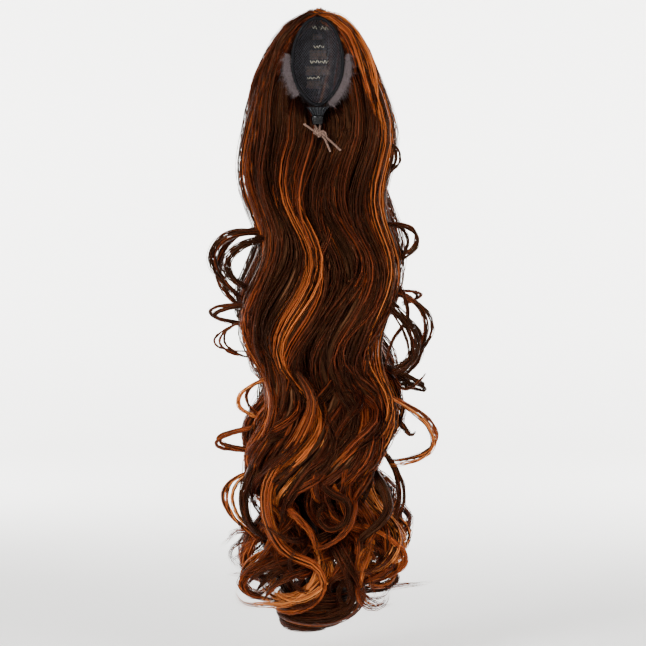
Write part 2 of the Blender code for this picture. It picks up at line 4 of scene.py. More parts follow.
import bmesh
import bpy
import numpy as np
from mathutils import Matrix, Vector


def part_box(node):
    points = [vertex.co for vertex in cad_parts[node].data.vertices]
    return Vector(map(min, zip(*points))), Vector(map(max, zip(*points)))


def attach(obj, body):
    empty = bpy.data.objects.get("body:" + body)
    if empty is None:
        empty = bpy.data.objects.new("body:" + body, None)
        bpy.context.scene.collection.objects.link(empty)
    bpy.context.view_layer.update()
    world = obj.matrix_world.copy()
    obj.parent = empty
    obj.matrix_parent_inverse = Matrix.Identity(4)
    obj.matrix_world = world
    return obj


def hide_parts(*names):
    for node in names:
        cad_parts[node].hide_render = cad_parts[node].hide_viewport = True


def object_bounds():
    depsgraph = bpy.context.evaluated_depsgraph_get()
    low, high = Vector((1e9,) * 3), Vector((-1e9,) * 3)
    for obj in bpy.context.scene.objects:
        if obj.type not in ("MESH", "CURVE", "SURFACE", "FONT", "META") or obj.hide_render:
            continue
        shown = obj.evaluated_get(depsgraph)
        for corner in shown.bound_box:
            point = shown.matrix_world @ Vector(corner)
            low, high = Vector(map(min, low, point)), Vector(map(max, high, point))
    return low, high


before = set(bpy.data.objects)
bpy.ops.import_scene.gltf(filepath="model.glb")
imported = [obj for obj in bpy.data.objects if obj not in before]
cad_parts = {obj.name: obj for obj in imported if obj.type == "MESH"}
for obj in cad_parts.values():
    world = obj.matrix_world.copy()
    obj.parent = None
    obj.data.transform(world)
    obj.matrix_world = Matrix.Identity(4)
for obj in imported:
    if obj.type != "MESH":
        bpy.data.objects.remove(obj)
cad_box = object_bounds()


# The net cup: knitted black nylon net, drawn into the bowl that takes the bun. Its threads cross in
# diamonds about twice as wide as real ones, which are some 1 mm, so that the mesh still shows.
def linear(hex_colour):
    """An sRGB hex colour as linear red, green and blue."""
    parts = [int(hex_colour[i : i + 2], 16) / 255 for i in (1, 3, 5)]
    return tuple(c / 12.92 if c <= 0.04045 else ((c + 0.055) / 1.055) ** 2.4 for c in parts)


def add_node(tree, kind, settings=None, **links):
    """Add a node, set its properties and sockets, and link the sockets that are given an output."""
    node = tree.nodes.new(kind)
    for name, value in (settings or {}).items():
        if name in node.inputs:
            node.inputs[name].default_value = value
        else:
            setattr(node, name, value)
    for name, output in links.items():
        tree.links.new(output, node.inputs[int(name[1:]) if name[0] == "_" else name.replace("_", " ")])
    return node


def new_material(name, roughness, colour="#808080", **sockets):
    """A material with one Principled shader, returned with its node tree and that shader."""
    made = bpy.data.materials.new(name)
    made.use_nodes = True
    tree = made.node_tree
    shader = tree.nodes["Principled BSDF"]
    shader.inputs["Base Color"].default_value = (*linear(colour), 1)
    shader.inputs["Roughness"].default_value = roughness
    for socket, value in sockets.items():
        shader.inputs[socket.replace("_", " ")].default_value = value
    return made, tree, shader


def mottled(tree, shader, low, high, spot, vector=None, relief=0.0):
    """Colour between two hex values by noise whose spots are about spot metres wide, with some relief."""
    spots = {"Scale": 1 / spot, "Detail": 3.0, "Roughness": 0.6}
    place = vector or add_node(tree, "ShaderNodeTexCoord").outputs["Object"]
    noise = add_node(tree, "ShaderNodeTexNoise", spots, Vector=place)
    ramp = add_node(tree, "ShaderNodeValToRGB", Fac=noise.outputs["Fac"])
    ramp.color_ramp.elements[0].position = 0.35
    ramp.color_ramp.elements[0].color = (*linear(low), 1)
    ramp.color_ramp.elements[1].position = 0.65
    ramp.color_ramp.elements[1].color = (*linear(high), 1)
    tree.links.new(ramp.outputs["Color"], shader.inputs["Base Color"])
    if relief:
        bump = add_node(
            tree, "ShaderNodeBump", {"Strength": 0.8, "Distance": relief}, Height=noise.outputs["Fac"]
        )
        tree.links.new(bump.outputs["Normal"], shader.inputs["Normal"])


def unit(vectors):
    """Vectors scaled to a length of one."""
    return vectors / np.maximum(np.linalg.norm(vectors, axis=-1, keepdims=True), 1e-12)


def run_along(line):
    """The length along a line up to each of its points."""
    return np.concatenate([[0], np.cumsum(np.linalg.norm(np.diff(line, axis=0), axis=1))])


def points_at(where, run, line):
    """The points of a line at some places along it, where run is the place of each of its own points."""
    return np.stack([np.interp(where, run, line[:, k]) for k in range(3)], axis=-1)


def new_object(name, data):
    """A new object in the scene for a mesh, curve, light or camera."""
    made = bpy.data.objects.new(name, data)
    bpy.context.scene.collection.objects.link(made)
    return made


def finish_piece(piece, material, slot, *nodes):
    """Give a piece its material and body, and hide the CAD nodes that it stands for. slot is not used."""
    piece.data.materials.clear()
    piece.data.materials.append(material)
    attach(piece, "root")
    if nodes:
        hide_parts(*nodes)
    return piece


def joined_tubes(name, paths, wide_way, half_wide, half_thick, sides, tints=None):
    """One mesh of many closed tubes. paths is [tube, point, xyz], and wide_way the direction that each
    is widest in. Its UV is the way round and the way along in metres, and tint a colour attribute."""
    tubes, points = paths.shape[:2]
    along = unit(np.gradient(paths, axis=1))
    wide_way = unit(wide_way - along * np.sum(wide_way * along, axis=-1, keepdims=True))
    thick_way = np.cross(along, wide_way)
    turns = 2 * math.pi * np.arange(sides) / sides
    half_wide = np.broadcast_to(half_wide, (tubes, points))[:, :, None, None]
    half_thick = np.broadcast_to(half_thick, (tubes, points))[:, :, None, None]
    corners = (
        paths[:, :, None, :]
        + wide_way[:, :, None, :] * half_wide * np.cos(turns)[None, None, :, None]
        + thick_way[:, :, None, :] * half_thick * np.sin(turns)[None, None, :, None]
    )
    first = np.arange(tubes * points).reshape(tubes, points)[:, :-1, None] * sides
    here = first + np.arange(sides)
    following = first + (np.arange(sides) + 1) % sides
    walls = np.stack([here, following, following + sides, here + sides], axis=-1)
    starts = np.arange(tubes)[:, None] * points * sides
    first_caps = starts + np.arange(sides)[::-1]
    last_caps = starts + (points - 1) * sides + np.arange(sides)
    loops = np.concatenate([walls.ravel(), first_caps.ravel(), last_caps.ravel()])
    sizes = np.concatenate([np.full(walls.size // 4, 4), np.full(2 * tubes, sides)])

    mesh = bpy.data.meshes.new(name)
    mesh.vertices.add(tubes * points * sides)
    mesh.vertices.foreach_set("co", corners.astype(np.float32).ravel())
    mesh.loops.add(len(loops))
    mesh.loops.foreach_set("vertex_index", loops.astype(np.int32))
    mesh.polygons.add(len(sizes))
    mesh.polygons.foreach_set("loop_start", (np.cumsum(sizes) - sizes).astype(np.int32))
    mesh.polygons.foreach_set("use_smooth", np.ones(len(sizes), bool))

    steps = np.linalg.norm(np.diff(paths, axis=1, prepend=paths[:, :1]), axis=-1)
    length = np.cumsum(steps, axis=1)[:, :, None] + np.zeros(sides)
    girth = 2 * math.pi * half_wide[:, :, 0, 0].max(axis=1)[:, None, None]
    round_way = np.broadcast_to(girth * np.arange(sides) / sides, length.shape)
    uv = np.stack([round_way.ravel()[loops], length.ravel()[loops]], axis=-1)
    wall_uv = uv[: walls.size].reshape(*walls.shape, 2)
    wall_uv[:, :, -1, 1:3, 0] = girth
    mesh.uv_layers.new(name="fibre").data.foreach_set("uv", uv.astype(np.float32).ravel())
    if tints is not None:
        colours = np.ones((tubes, points, sides, 4), np.float32)
        colours[..., :3] = np.broadcast_to(tints, (tubes, points, 3))[:, :, None, :]
        layer = mesh.color_attributes.new("tint", "FLOAT_COLOR", "POINT")
        layer.data.foreach_set("color", colours.ravel())
    mesh.update()
    return new_object(name, mesh)


net_low, net_high = (np.array(corner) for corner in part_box("net_cup"))
NET_WALL = 0.0012
MOUTH_HALF_WIDTH = net_high[0] - NET_WALL
MOUTH_RISE = net_high[2] - NET_WALL
MOUTH_DROP = -net_low[2] - NET_WALL
MOUTH_POINT = 1.35
CUP_DEPTH = 0.028
CUP_FULLNESS = 2.4
NET_PITCH = 0.0021
NET_THREAD = 0.00034
NET_SLOPE = 1.25
NET_POINTS = 36
BACKWARD = np.array([0.0, 1.0, 0.0])


def cup_scale(depth_share):
    """How wide the cup is at a share of its depth, as a share of its width at the mouth."""
    return np.maximum(0.0, 1.0 - depth_share**CUP_FULLNESS) ** (1.0 / CUP_FULLNESS)


def mouth_point(turn, spread=0.0, depth=0.0, scale=1.0):
    """Points on the mouth's outline, turn degrees from the top towards +X, spread outside it."""
    angle = np.radians(turn)
    over, up = np.sin(angle), np.cos(angle)
    pointed = np.where(up < 0, MOUTH_POINT, 1.0)
    tall = np.where(up < 0, MOUTH_DROP, MOUTH_RISE) + spread
    x = np.copysign(np.abs(over) ** pointed, over) * (MOUTH_HALF_WIDTH + spread) * scale
    return np.stack([x, np.broadcast_to(depth, x.shape), up * tall * scale], axis=-1)


def cup_depth(x, z, spread=0.0):
    """How deep the cup, grown by spread, lies behind the points x, z, and which are inside its mouth."""
    pointed = np.where(z < 0, MOUTH_POINT, 1.0)
    tall = np.where(z < 0, MOUTH_DROP, MOUTH_RISE) + spread
    wide = MOUTH_HALF_WIDTH + spread

    def reach(share):
        scale = np.maximum(cup_scale(share), 1e-6)
        return (z / (tall * scale)) ** 2 + (np.abs(x) / (wide * scale)) ** (2 / pointed)

    low, high = np.zeros(np.shape(x)), np.ones(np.shape(x))
    for _ in range(24):
        share = (low + high) / 2
        inside = reach(share) < 1
        low, high = np.where(inside, share, low), np.where(inside, high, share)
    return low * (CUP_DEPTH + spread), reach(np.zeros(np.shape(x))) < 1


net_lines = []
for way in (1, -1):
    for shift in np.arange(-MOUTH_RISE * 1.7, MOUTH_RISE * 1.7, NET_PITCH * math.hypot(1, NET_SLOPE)):
        x = np.linspace(-MOUTH_HALF_WIDTH, MOUTH_HALF_WIDTH, 400)
        z = way * x * NET_SLOPE + shift
        depth, inside = cup_depth(x, z)
        if inside.sum() < 10:
            continue
        line = np.stack([x, depth, z], axis=-1)[inside]
        # Where the bowl is steep, points that are even in x would leave gaps, so they are spread along it
        run = run_along(line)
        net_lines.append(points_at(np.linspace(0, run[-1], NET_POINTS), run, line))
net_lines = np.array(net_lines)
net = joined_tubes("net_mesh", net_lines, BACKWARD, NET_THREAD, NET_THREAD, 4)
# Knitted nylon yarn: black, with a dull grey shine on each thread, painted into its colour as grey mottling
nylon, nylon_tree, nylon_shader = new_material("knitted_nylon_net", 0.6, Specular_IOR_Level=0.35)
mottled(nylon_tree, nylon_shader, "#17171a", "#45454c", 0.003)
finish_piece(net, nylon, "black_net", "net_cup")


# The hem: the net's edge turned over the drawstring and whipped down with nylon thread, round the
# whole mouth. Being several layers thick, it is blacker than the open net, and the stitches stand out of it.
CASING_THICK = 0.0034
HEM_SPREAD = CASING_THICK * 0.30
HEM_MIDDLE = -CASING_THICK / 2 - 0.0003
HEM_HALF_WIDTH = CASING_THICK * 0.52
HEM_STITCHES = 150


def evaluated_mesh(piece):
    """A new mesh of an object as its curve or its modifiers make it."""
    bpy.context.view_layer.update()
    return bpy.data.meshes.new_from_object(piece.evaluated_get(bpy.context.evaluated_depsgraph_get()))


hem_turns = np.linspace(0, 360, 181)[:-1]
curve = bpy.data.curves.new("hem", "CURVE")
curve.dimensions = "3D"
curve.bevel_depth = HEM_HALF_WIDTH
curve.bevel_resolution = 4
spline = curve.splines.new("POLY")
spline.points.add(len(hem_turns) - 1)
hem_line = mouth_point(hem_turns, HEM_SPREAD, HEM_MIDDLE)
spline.points.foreach_set("co", np.column_stack([hem_line, np.ones(len(hem_line))]).ravel())
spline.use_cyclic_u = True
hem_path = new_object("hem_path", curve)
hem_mesh = evaluated_mesh(hem_path)
bpy.data.objects.remove(hem_path)
# The hem is a flat tube, and the drawn-up net wrinkles it every few millimetres
hem_points = np.empty(len(hem_mesh.vertices) * 3, np.float32)
hem_mesh.vertices.foreach_get("co", hem_points)
hem_points = hem_points.reshape(-1, 3)
around = np.arctan2(hem_points[:, 0], hem_points[:, 2])
wrinkle = 1 + 0.10 * np.sin(62 * around) + 0.06 * np.sin(97 * around + 1)
hem_points[:, 1] = HEM_MIDDLE + (hem_points[:, 1] - HEM_MIDDLE) * 0.86 * wrinkle
hem_mesh.vertices.foreach_set("co", hem_points.ravel())
hem = new_object("turned_hem", hem_mesh)
# Layers of net turned over each other: matt, and blacker than the open net
turned_net, turned_tree, turned_shader = new_material("turned_nylon_net", 0.8, Specular_IOR_Level=0.12)
mottled(turned_tree, turned_shader, "#060608", "#131316", 0.0012, relief=0.0004)
finish_piece(hem, turned_net, "casing", "drawstring_casing")

stitch_share = np.linspace(-1, 1, 7)
over = HEM_SPREAD + stitch_share * HEM_HALF_WIDTH
front = HEM_MIDDLE - CASING_THICK * 0.46 * np.sqrt(1 - 0.9 * stitch_share**2) - 0.0001
stitches = [
    mouth_point(turn + 0.9 * stitch_share, over, front)
    for turn in np.linspace(0, 360, HEM_STITCHES, endpoint=False)
]
stitching = joined_tubes("hem_stitching", np.array(stitches), BACKWARD, 0.00022, 0.00022, 5)
finish_piece(stitching, turned_net, "casing")


# The gathers: below the mouth the cup's net is drawn together into pleats that run down into the
# cord lock. The layers of net lie so close there that they read as black cloth with a faint blue sheen.
def skin(name, sides, levels, place):
    """A closed skin of rings. place(turn, level) gives a point, for a turn round it and a level from 0
    at its first ring to 1 at its last."""
    build = bmesh.new()
    bmesh.ops.create_circle(build, cap_ends=False, segments=sides, radius=1)
    rim = list(build.edges)
    for _ in range(levels):
        made = bmesh.ops.extrude_edge_only(build, edges=rim)["geom"]
        rim = [part for part in made if isinstance(part, bmesh.types.BMEdge)]
        raised = [part for part in made if isinstance(part, bmesh.types.BMVert)]
        rim = [edge for edge in rim if all(vert in raised for vert in edge.verts)]
        bmesh.ops.translate(build, verts=raised, vec=(0, 0, 1 / levels))
    for vert in build.verts:
        vert.co = place(math.atan2(vert.co.y, vert.co.x), vert.co.z)
    bmesh.ops.holes_fill(build, edges=build.edges, sides=0)
    bmesh.ops.recalc_face_normals(build, faces=build.faces)
    for face in build.faces:
        face.smooth = len(face.verts) == 4
    mesh = bpy.data.meshes.new(name)
    build.to_mesh(mesh)
    build.free()
    return new_object(name, mesh)


gather_low, gather_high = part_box("gathered_net")
GATHER_TOP_WIDTH = gather_high[0] - gather_low[0]
GATHER_FOOT_WIDTH = 0.0120
GATHER_DROP = gather_high[2] - gather_low[2]
GATHER_THICK = 0.0036
PLEAT_RELIEF = 0.0011
GATHER_MIDDLE = -CASING_THICK / 2
PLEATS = 6


def gather_place(turn, level):
    """A point on the gathers: folds that deepen upwards, flat in front and behind."""
    width = GATHER_TOP_WIDTH + (GATHER_FOOT_WIDTH - GATHER_TOP_WIDTH) * level**0.7
    share = math.copysign(abs(math.cos(turn)) ** 0.8, math.cos(turn))
    fold = math.cos(math.pi * PLEATS * (share + 0.06 * math.sin(5 * level)))
    sharp = math.copysign(abs(fold) ** 0.6, fold)
    thick = GATHER_THICK / 2 * (1 - 0.25 * level) + PLEAT_RELIEF * sharp * (1 - 0.35 * level)
    front = math.copysign(min(1.0, abs(math.sin(turn)) * 3), math.sin(turn))
    return (share * width / 2, GATHER_MIDDLE - front * thick, gather_high[2] - level * GATHER_DROP)


gathers = skin("gathered_pleats", 144, 20, gather_place)
pleated, pleated_tree, pleated_shader = new_material(
    "pleated_nylon_net", 0.55, Specular_IOR_Level=0.25, Sheen_Weight=0.03, Sheen_Roughness=0.4
)
pleated_shader.inputs["Sheen Tint"].default_value = (*linear("#8fa6c8"), 1)
mottled(pleated_tree, pleated_shader, "#070709", "#1b1d21", 0.0011, relief=0.0003)
finish_piece(gathers, pleated, "gathers", "gathered_net")


# The cord lock: a small barrel moulded in glossy black plastic, with a raised rim round its top and
# one bore for each end of the drawstring.
lock_low, lock_high = (Vector(corner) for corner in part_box("cord_lock"))
lock_middle = (lock_low + lock_high) / 2
lock_half = (lock_high - lock_low) / 2
BORE = 0.0034
BORE_SPACING = 0.0058
# The cutter is longer than the lock is tall
BORE_CUT = 0.03
# Its profile from the foot up: a share of the height from the middle, and of the full half width
LOCK_PROFILE = (
    (-1.00, 0.66),
    (-0.97, 0.76),
    (-0.88, 0.84),
    (-0.60, 0.90),
    (0.00, 0.92),
    (0.16, 0.92),
    (0.26, 0.95),
    (0.34, 0.99),
    (0.44, 1.00),
    (0.74, 1.00),
    (0.88, 0.98),
    (0.97, 0.91),
    (1.00, 0.82),
)


def lock_place(turn, level):
    """A point on the cord lock's oval barrel."""
    up, full = LOCK_PROFILE[round(level * (len(LOCK_PROFILE) - 1))]
    wide = math.cos(turn) * lock_half.x * full
    return lock_middle + Vector((wide, math.sin(turn) * lock_half.y * full, up * lock_half.z))


lock = skin("cord_lock_body", 64, len(LOCK_PROFILE) - 1, lock_place)
bores = bmesh.new()
for side in (-1, 1):
    made = bmesh.ops.create_cone(
        bores, cap_ends=True, segments=32, radius1=BORE / 2, radius2=BORE / 2, depth=BORE_CUT
    )
    bmesh.ops.translate(bores, verts=made["verts"], vec=lock_middle + Vector((side * BORE_SPACING / 2, 0, 0)))
bore_mesh = bpy.data.meshes.new("bores")
bores.to_mesh(bore_mesh)
bores.free()
cutter = new_object("bores", bore_mesh)
drilled = lock.modifiers.new("bores", "BOOLEAN")
drilled.operation = "DIFFERENCE"
drilled.object = cutter
lock.data = evaluated_mesh(lock)
lock.modifiers.clear()
bpy.data.objects.remove(cutter)
# Moulded polypropylene: near black, smooth enough for one soft highlight on its rim
plastic, plastic_tree, plastic_shader = new_material(
    "moulded_black_plastic", 0.20, "#070708", Specular_IOR_Level=0.20
)
mottled(plastic_tree, plastic_shader, "#050506", "#0b0b0c", 0.003, relief=0.00004)
finish_piece(lock, plastic, "black_plastic", "cord_lock")


# The drawstring: one braided polyester cord whose two ends come out of the lock, are tied in a knot
# and are left loose, cut off short. The third strand stands for the narrow loop that the knot leaves.
CORD = 0.0024
LOCK_FOOT = np.array([0.0, lock_middle.y, lock_low.z])
LOCK_WIDTH = lock_half.x * 2
# For each cord its name, the nodes that it stands for, which point lies at its exit, and its route: points
# to the right, to the front and down, as shares of the lock's width from the middle of its foot
CORD_ROWS = (
    (
        "left_cord",
        ("drawstring_left", "drawstring_tail_left"),
        1,
        (
            *((-0.204, 0.00, -0.66), (-0.204, 0.00, 0.00), (-0.13, 0.16, 0.20), (-0.06, 0.30, 0.34)),
            *((0.02, 0.40, 0.48), (-0.02, 0.46, 0.60), (-0.16, 0.42, 0.58), (-0.30, 0.385, 0.487)),
            *((-0.44, 0.37, 0.40), (-0.76, 0.33, 0.16), (-1.06, 0.28, -0.04)),
        ),
    ),
    (
        "right_cord",
        ("drawstring_right", "drawstring_tail_right"),
        1,
        (
            *((0.204, 0.00, -0.66), (0.204, 0.00, 0.00), (0.17, 0.16, 0.20), (0.15, 0.30, 0.34)),
            *((0.19, 0.42, 0.55), (0.28, 0.44, 0.77), (0.40, 0.42, 0.95), (0.506, 0.40, 1.071)),
            *((0.59, 0.39, 1.19), (0.78, 0.34, 1.62), (0.98, 0.30, 2.10)),
        ),
    ),
    (
        "bow_cord",
        ("drawstring_bow",),
        5,
        (
            *((-0.22, 0.40, 0.55), (0.00, 0.40, 0.62), (0.19, 0.40, 0.68), (0.36, 0.40, 0.75)),
            *((0.52, 0.40, 0.85), (0.664, 0.40, 0.949), (0.755, 0.39, 1.07), (1.24, 0.34, 1.50)),
            (1.78, 0.30, 2.00),
        ),
    ),
)


def cord_point(right, front, down):
    """A point of the drawstring's routes in metres."""
    return LOCK_FOOT + np.array([right, -front, -down]) * LOCK_WIDTH


def smooth_route(points, count):
    """count points, evenly spread along a smooth curve through the points of a route."""
    points = np.array(points)
    before = np.vstack([points[:1], points[:-2]])
    here, there = points[:-1], points[1:]
    after = np.vstack([points[2:], points[-1:]])
    u = np.linspace(0, 1, 20)[:, None, None]
    line = 0.5 * (
        2 * here
        + (there - before) * u
        + (2 * before - 5 * here + 4 * there - after) * u**2
        + (3 * here - before - 3 * there + after) * u**3
    )
    line = line.transpose(1, 0, 2).reshape(-1, 3)
    run = run_along(line)
    return points_at(np.linspace(0, run[-1], count), run, line), run[-1]


# Braided cord: eight strands that cross every 1.2 mm, matt, with a painted highlight making each strand's
# crown paler and painted shade in the grooves between them
cord_look, cord_tree, cord_shader = new_material("braided_polyester_cord", 0.85, Specular_IOR_Level=0.25)
cord_way = add_node(cord_tree, "ShaderNodeUVMap", {"uv_map": "fibre"})
crowns = []
for slant in (-40, 40):
    laid = add_node(
        cord_tree,
        "ShaderNodeMapping",
        {"Scale": (1 / 0.0012, 1 / 0.0012, 1), "Rotation": (0, 0, math.radians(slant))},
        Vector=cord_way.outputs[0],
    )
    crowns.append(
        add_node(cord_tree, "ShaderNodeTexWave", {"Scale": 0.32, "Distortion": 0.6}, Vector=laid.outputs[0])
    )
crossed = add_node(
    cord_tree,
    "ShaderNodeMath",
    {"operation": "MULTIPLY"},
    _0=crowns[0].outputs["Fac"],
    _1=crowns[1].outputs["Fac"],
)
# Dark in the grooves and pale on the crowns: painted shade and painted highlight
cord_ramp = add_node(cord_tree, "ShaderNodeValToRGB", Fac=crossed.outputs[0])
cord_ramp.color_ramp.elements[0].color = (*linear("#44322a"), 1)
cord_ramp.color_ramp.elements[1].position = 0.7
cord_ramp.color_ramp.elements[1].color = (*linear("#806557"), 1)
cord_tint = add_node(cord_tree, "ShaderNodeAttribute", {"attribute_name": "tint"})
cord_mix = add_node(
    cord_tree,
    "ShaderNodeVectorMath",
    {"operation": "MULTIPLY"},
    _0=cord_ramp.outputs["Color"],
    _1=cord_tint.outputs["Color"],
)
cord_tree.links.new(cord_mix.outputs[0], cord_shader.inputs["Base Color"])
cord_bump = add_node(
    cord_tree, "ShaderNodeBump", {"Strength": 0.9, "Distance": 0.0002}, Height=crossed.outputs[0]
)
cord_tree.links.new(cord_bump.outputs["Normal"], cord_shader.inputs["Normal"])


def carried_round(line, side):
    """The direction side carried along a line, so that it turns with the line and doesn't twist."""
    aims = unit(np.gradient(line, axis=0))
    carried = np.zeros_like(line)
    for i, aim in enumerate(aims):
        side = unit(side - aim * side.dot(aim))
        carried[i] = side
    return carried


def cord_tube(name, path, painted_end_highlight, nodes):
    """A braided cord along path, swollen at each crossing of its strands, its cut end painted paler as a
    highlight if asked.
    """
    count = len(path)
    run = np.linspace(0, 1, count)
    swell = 1 + 0.05 * np.cos(2 * math.pi * run * count / 3)
    # Over its last few millimetres the tint rises: a painted highlight on the end
    tint = np.ones((1, count, 3)) + painted_end_highlight * np.clip((run - 0.93) / 0.05, 0, 1)[None, :, None]
    sideways_start = np.cross(path[1] - path[0], BACKWARD)
    if np.linalg.norm(sideways_start) < 1e-6:
        sideways_start = np.array([1.0, 0.0, 0.0])
    ways = carried_round(path, sideways_start)
    piece = joined_tubes(name, path[None], ways[None], swell * CORD / 2, swell * CORD / 2, 14, tint)
    return finish_piece(piece, cord_look, "cord", *nodes)


# The knot: the cord wound three times round itself, then arched over to the right
WRAPS = 3.25
WRAP_RADIUS = 0.00235
KNOT_FROM = cord_point(-0.27, 0.40, 0.51)
KNOT_TO = cord_point(0.18, 0.40, 0.70)
knot_axis = unit(KNOT_TO - KNOT_FROM)
knot_up = unit(np.cross(knot_axis, BACKWARD))
winding = []
for share in np.linspace(0, 1, 70):
    turn = 2 * math.pi * WRAPS * share
    middle = KNOT_FROM + (KNOT_TO - KNOT_FROM) * share
    winding.append(middle + (knot_up * math.cos(turn) + BACKWARD * math.sin(turn)) * WRAP_RADIUS)
knot_wraps = cord_tube("knot_wraps", np.array(winding), 0, ("drawstring_knot",))
for number, (radius, front) in enumerate(((0.0040, 0.52), (0.0018, 0.60))):
    middle = cord_point(0.36, front, 0.86)
    arch = [
        middle + np.array([-math.cos(a) * radius, 0.0008 * math.cos(a), math.sin(a) * radius * 1.15])
        for a in np.linspace(-0.45, math.pi + 0.35, 30)
    ]
    cord_tube(f"knot_arch_{number + 1}", np.array(arch), 0, ())

for name, replaced, exit_point, points in CORD_ROWS:
    route, length = smooth_route([cord_point(*point) for point in points], 90)
    # The loose ends carry the painted highlight
    tube = cord_tube(name, route, 0.75, replaced)


# The side strips: soft grey pile tape, sewn on each side of the hem, that grips the wearer's own hair.
# A woven band carries short fibres by the thousand, and longer tufts stand out along its outer edge.
STRIP_WIDTH = 0.0072
STRIP_THICK = 0.0024
STRIP_SPREAD = CASING_THICK * 0.92 + 0.0003 + STRIP_WIDTH / 2
# Each strip's name, and the turns of the mouth that it starts and ends at, in degrees from the top
STRIP_ROWS = (("side_strip_left", -79, -133), ("side_strip_right", 79, 150))
PILE_FIBRES = 2400
PILE_FIBRE_HALF_WIDTH = 0.00016
rng = np.random.default_rng(11)

pile_look, pile_tree, pile_shader = new_material("brushed_polyester_pile", 0.95, Specular_IOR_Level=0.15)
pile_tint = add_node(pile_tree, "ShaderNodeAttribute", {"attribute_name": "tint"})
pile_tree.links.new(pile_tint.outputs["Color"], pile_shader.inputs["Base Color"])
band_look, band_tree, band_shader = new_material("woven_pile_backing", 0.95, Specular_IOR_Level=0.15)
mottled(band_tree, band_shader, "#3a3334", "#665c5c", 0.0008, relief=0.0003)

for name, first_turn, last_turn in STRIP_ROWS:
    share = np.linspace(0, 1, 40)
    line = mouth_point(first_turn + (last_turn - first_turn) * share, STRIP_SPREAD, -CASING_THICK / 2)
    across = carried_round(line, mouth_point(first_turn, 1.0) - mouth_point(first_turn, 0.0))
    full = 0.30 + 0.70 * np.sin(math.pi * share) ** 0.5
    band = joined_tubes(
        f"{name}_band", line[None], across[None], STRIP_WIDTH / 2 * full, STRIP_THICK / 2, 12
    )
    finish_piece(band, band_look, "grey_pile", name)

    root_share = rng.uniform(0, 1, PILE_FIBRES)
    over = rng.uniform(-1, 1, PILE_FIBRES)
    at = points_at(root_share, share, line)
    out = points_at(root_share, share, across)
    width = np.interp(root_share, share, STRIP_WIDTH / 2 * full)
    front = STRIP_THICK / 2 * np.sqrt(1 - 0.9 * over**2)
    roots = at + out * (over * width)[:, None] - BACKWARD * front[:, None] * 0.8
    lean = unit(
        out * (over * 1.1 + 0.35)[:, None]
        - BACKWARD * (1.1 - 0.8 * np.abs(over))[:, None]
        + rng.normal(0, 0.45, (PILE_FIBRES, 3))
    )
    tuft = (over > 0.6) & (rng.uniform(0, 1, PILE_FIBRES) < 0.35)
    reach = np.where(tuft, rng.uniform(0.0025, 0.0065, PILE_FIBRES), rng.uniform(0.0008, 0.0022, PILE_FIBRES))
    droop = rng.normal(0, 0.35, (PILE_FIBRES, 3))
    step = np.linspace(0, 1, 4)[None, :, None]
    fibres = roots[:, None] + lean[:, None] * reach[:, None, None] * step
    fibres = fibres + droop[:, None] * reach[:, None, None] * step**2
    grey = rng.uniform(0.55, 1.25, (PILE_FIBRES, 1, 1)) * np.array(linear("#6a5f60"))
    thin = PILE_FIBRE_HALF_WIDTH * (1 - 0.7 * step[..., 0])
    pile = joined_tubes(f"{name}_pile", fibres, np.array([1.0, 0.3, 0.2]), thin, thin, 3, grey)
    finish_piece(pile, pile_look, "grey_pile")


# The hair: several thousand curled synthetic fibres, sewn on in wefts and left to hang. Each lock is
# four clumps round its middle line, and each clump about two dozen flat wisps that lie side by side.
FALL = 0.632
HOOD_GAP = 0.0022
LEAST_ROOT_DEPTH = 0.006
TAIL_HALF_WIDTH = 0.084
TAIL_FRONT = -0.004
TAIL_DEPTH = 0.104
LOCK_THICK = 0.0285
CURL_THICK = 0.0078
# A lock hangs from HANG_START down in waves that swing to each side and grow shorter towards its end
HANG_START = 0.078
SWING = 0.020
WAVE_LENGTH = 0.185
WAVES_ADDED = 0.6
# Above that it sweeps from its root round the cup, the more so the stronger these pulls at its two ends
ROOT_SWEEP = 0.3
ROOT_PULL = 0.150
HANG_PULL = 0.070
# How much closer the points of a line lie towards its end
CLOSER = 0.6
# How wide the tail hangs at a share of the fall, as shares of its full half width
TAIL_OUTLINE = ((0.0, 1.0), (0.45, 1.0), (0.68, 0.86), (0.82, 1.0), (0.92, 0.94), (1.0, 0.60))

# Near black, dark brown, two auburns, copper and light copper
TONES = ("#0c0403", "#1d0b07", "#40190e", "#733117", "#a85828", "#c57a42")
tone_colours = np.array([linear(tone) for tone in TONES])

